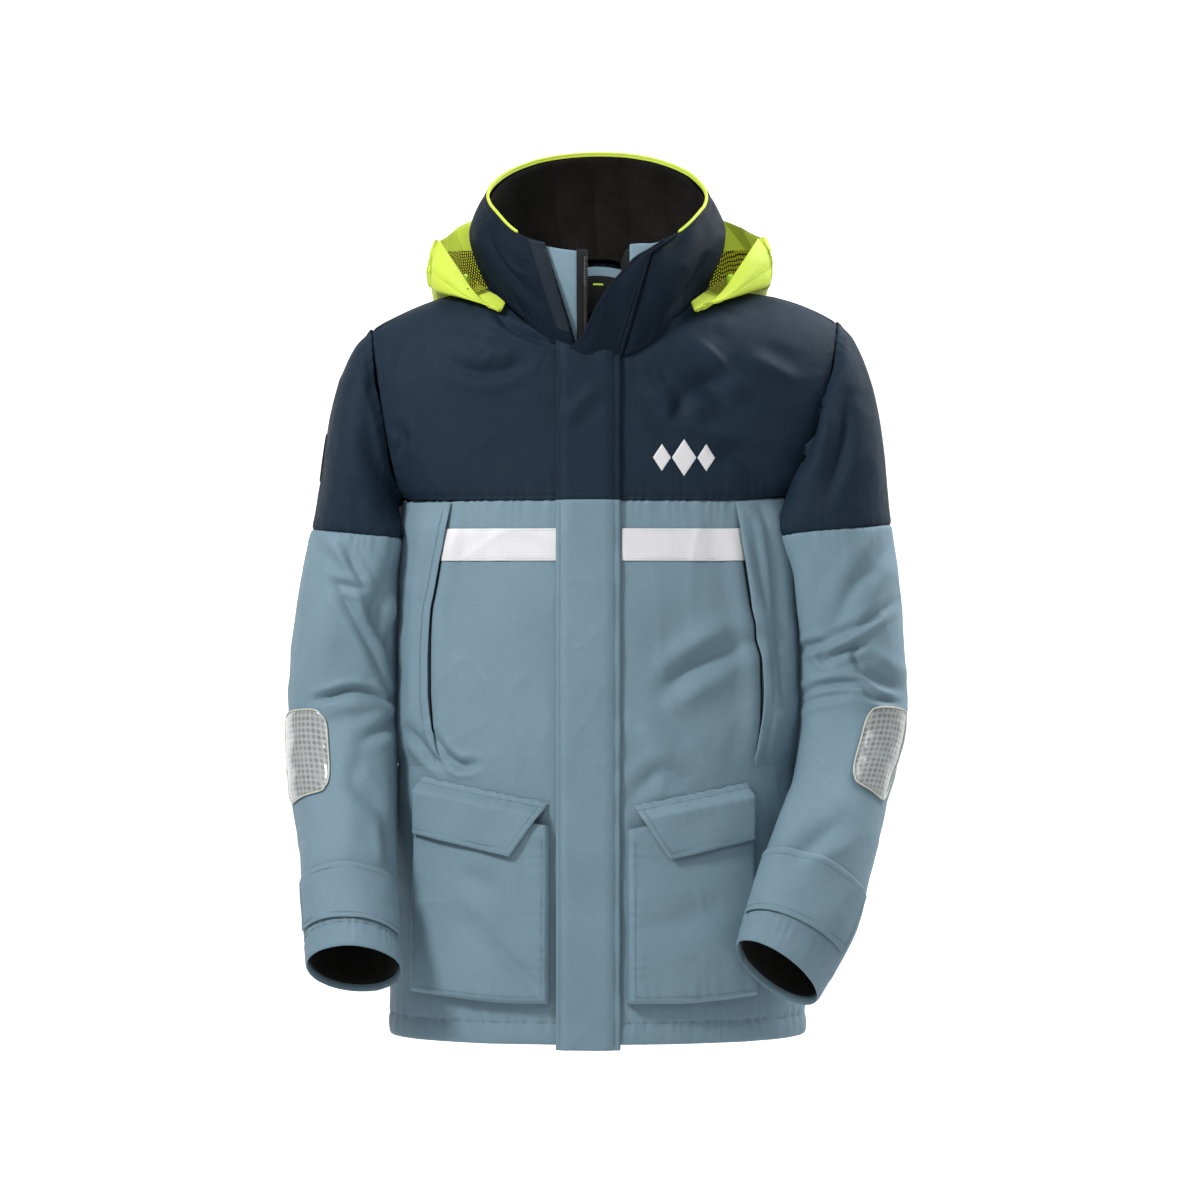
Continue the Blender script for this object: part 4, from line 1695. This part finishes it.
def camera_and_lights(scene):
    lens = bpy.data.cameras.new("camera")
    lens.sensor_width = 36.0
    lens.lens = lens.sensor_width * -EYE_Y / VIEW_WIDTH
    camera = bpy.data.objects.new("camera", lens)
    camera.location = (0.002, EYE_Y, EYE_Z)
    camera.rotation_euler = (pi / 2, 0, 0)
    scene.collection.objects.link(camera)
    scene.camera = camera
    for name, place, aim, size, power, tint in LIGHTS:
        data = bpy.data.lights.new(name, "AREA")
        data.size, data.energy, data.color = size, power, tint
        light = bpy.data.objects.new(name, data)
        light.location = place
        direction = Vector(np.array(aim) - np.array(place))
        light.rotation_euler = direction.to_track_quat("-Z", "Y").to_euler()
        scene.collection.objects.link(light)


def paper(name, glow):
    made = bpy.data.materials.new(name)
    made.use_nodes = True
    set_up(made.node_tree, made.node_tree.nodes["Principled BSDF"], Base_Color=(0.82, 0.82, 0.82, 1),
           Roughness=0.9, Emission_Color=(1, 1, 1, 1), Emission_Strength=glow)
    return made


def studio():
    scene = bpy.context.scene
    camera_and_lights(scene)
    scene.world = bpy.data.worlds.new("studio")
    scene.world.use_nodes = True
    background = scene.world.node_tree.nodes["Background"].inputs
    background[0].default_value, background[1].default_value = (1.0, 1.0, 1.0, 1), 0.18
    verts = [(x, y, z) for y, z in SWEEP for x in (-SWEEP_HALF, SWEEP_HALF)]
    faces = [(2 * i, 2 * i + 1, 2 * i + 3, 2 * i + 2) for i in range(len(SWEEP) - 1)]
    mesh = bpy.data.meshes.new("backdrop")
    mesh.from_pydata(verts, [], faces)
    mesh.shade_smooth()
    mesh.materials.append(paper("floor_paper", 0.0))
    mesh.materials.append(paper("backdrop_paper", PAPER_GLOW))
    for face in mesh.polygons:
        face.material_index = 1 if face.index else 0
    backdrop = bpy.data.objects.new("backdrop", mesh)
    scene.collection.objects.link(backdrop)
    scene.view_settings.view_transform = "Standard"


studio()
yokes()
body_panels()
linings()
collar_parts()
collar_overlap()
front_closure()
storm_flap()
chest_parts()
pockets()
sleeves()
hood()
small_pieces()
sew()
hard_parts()
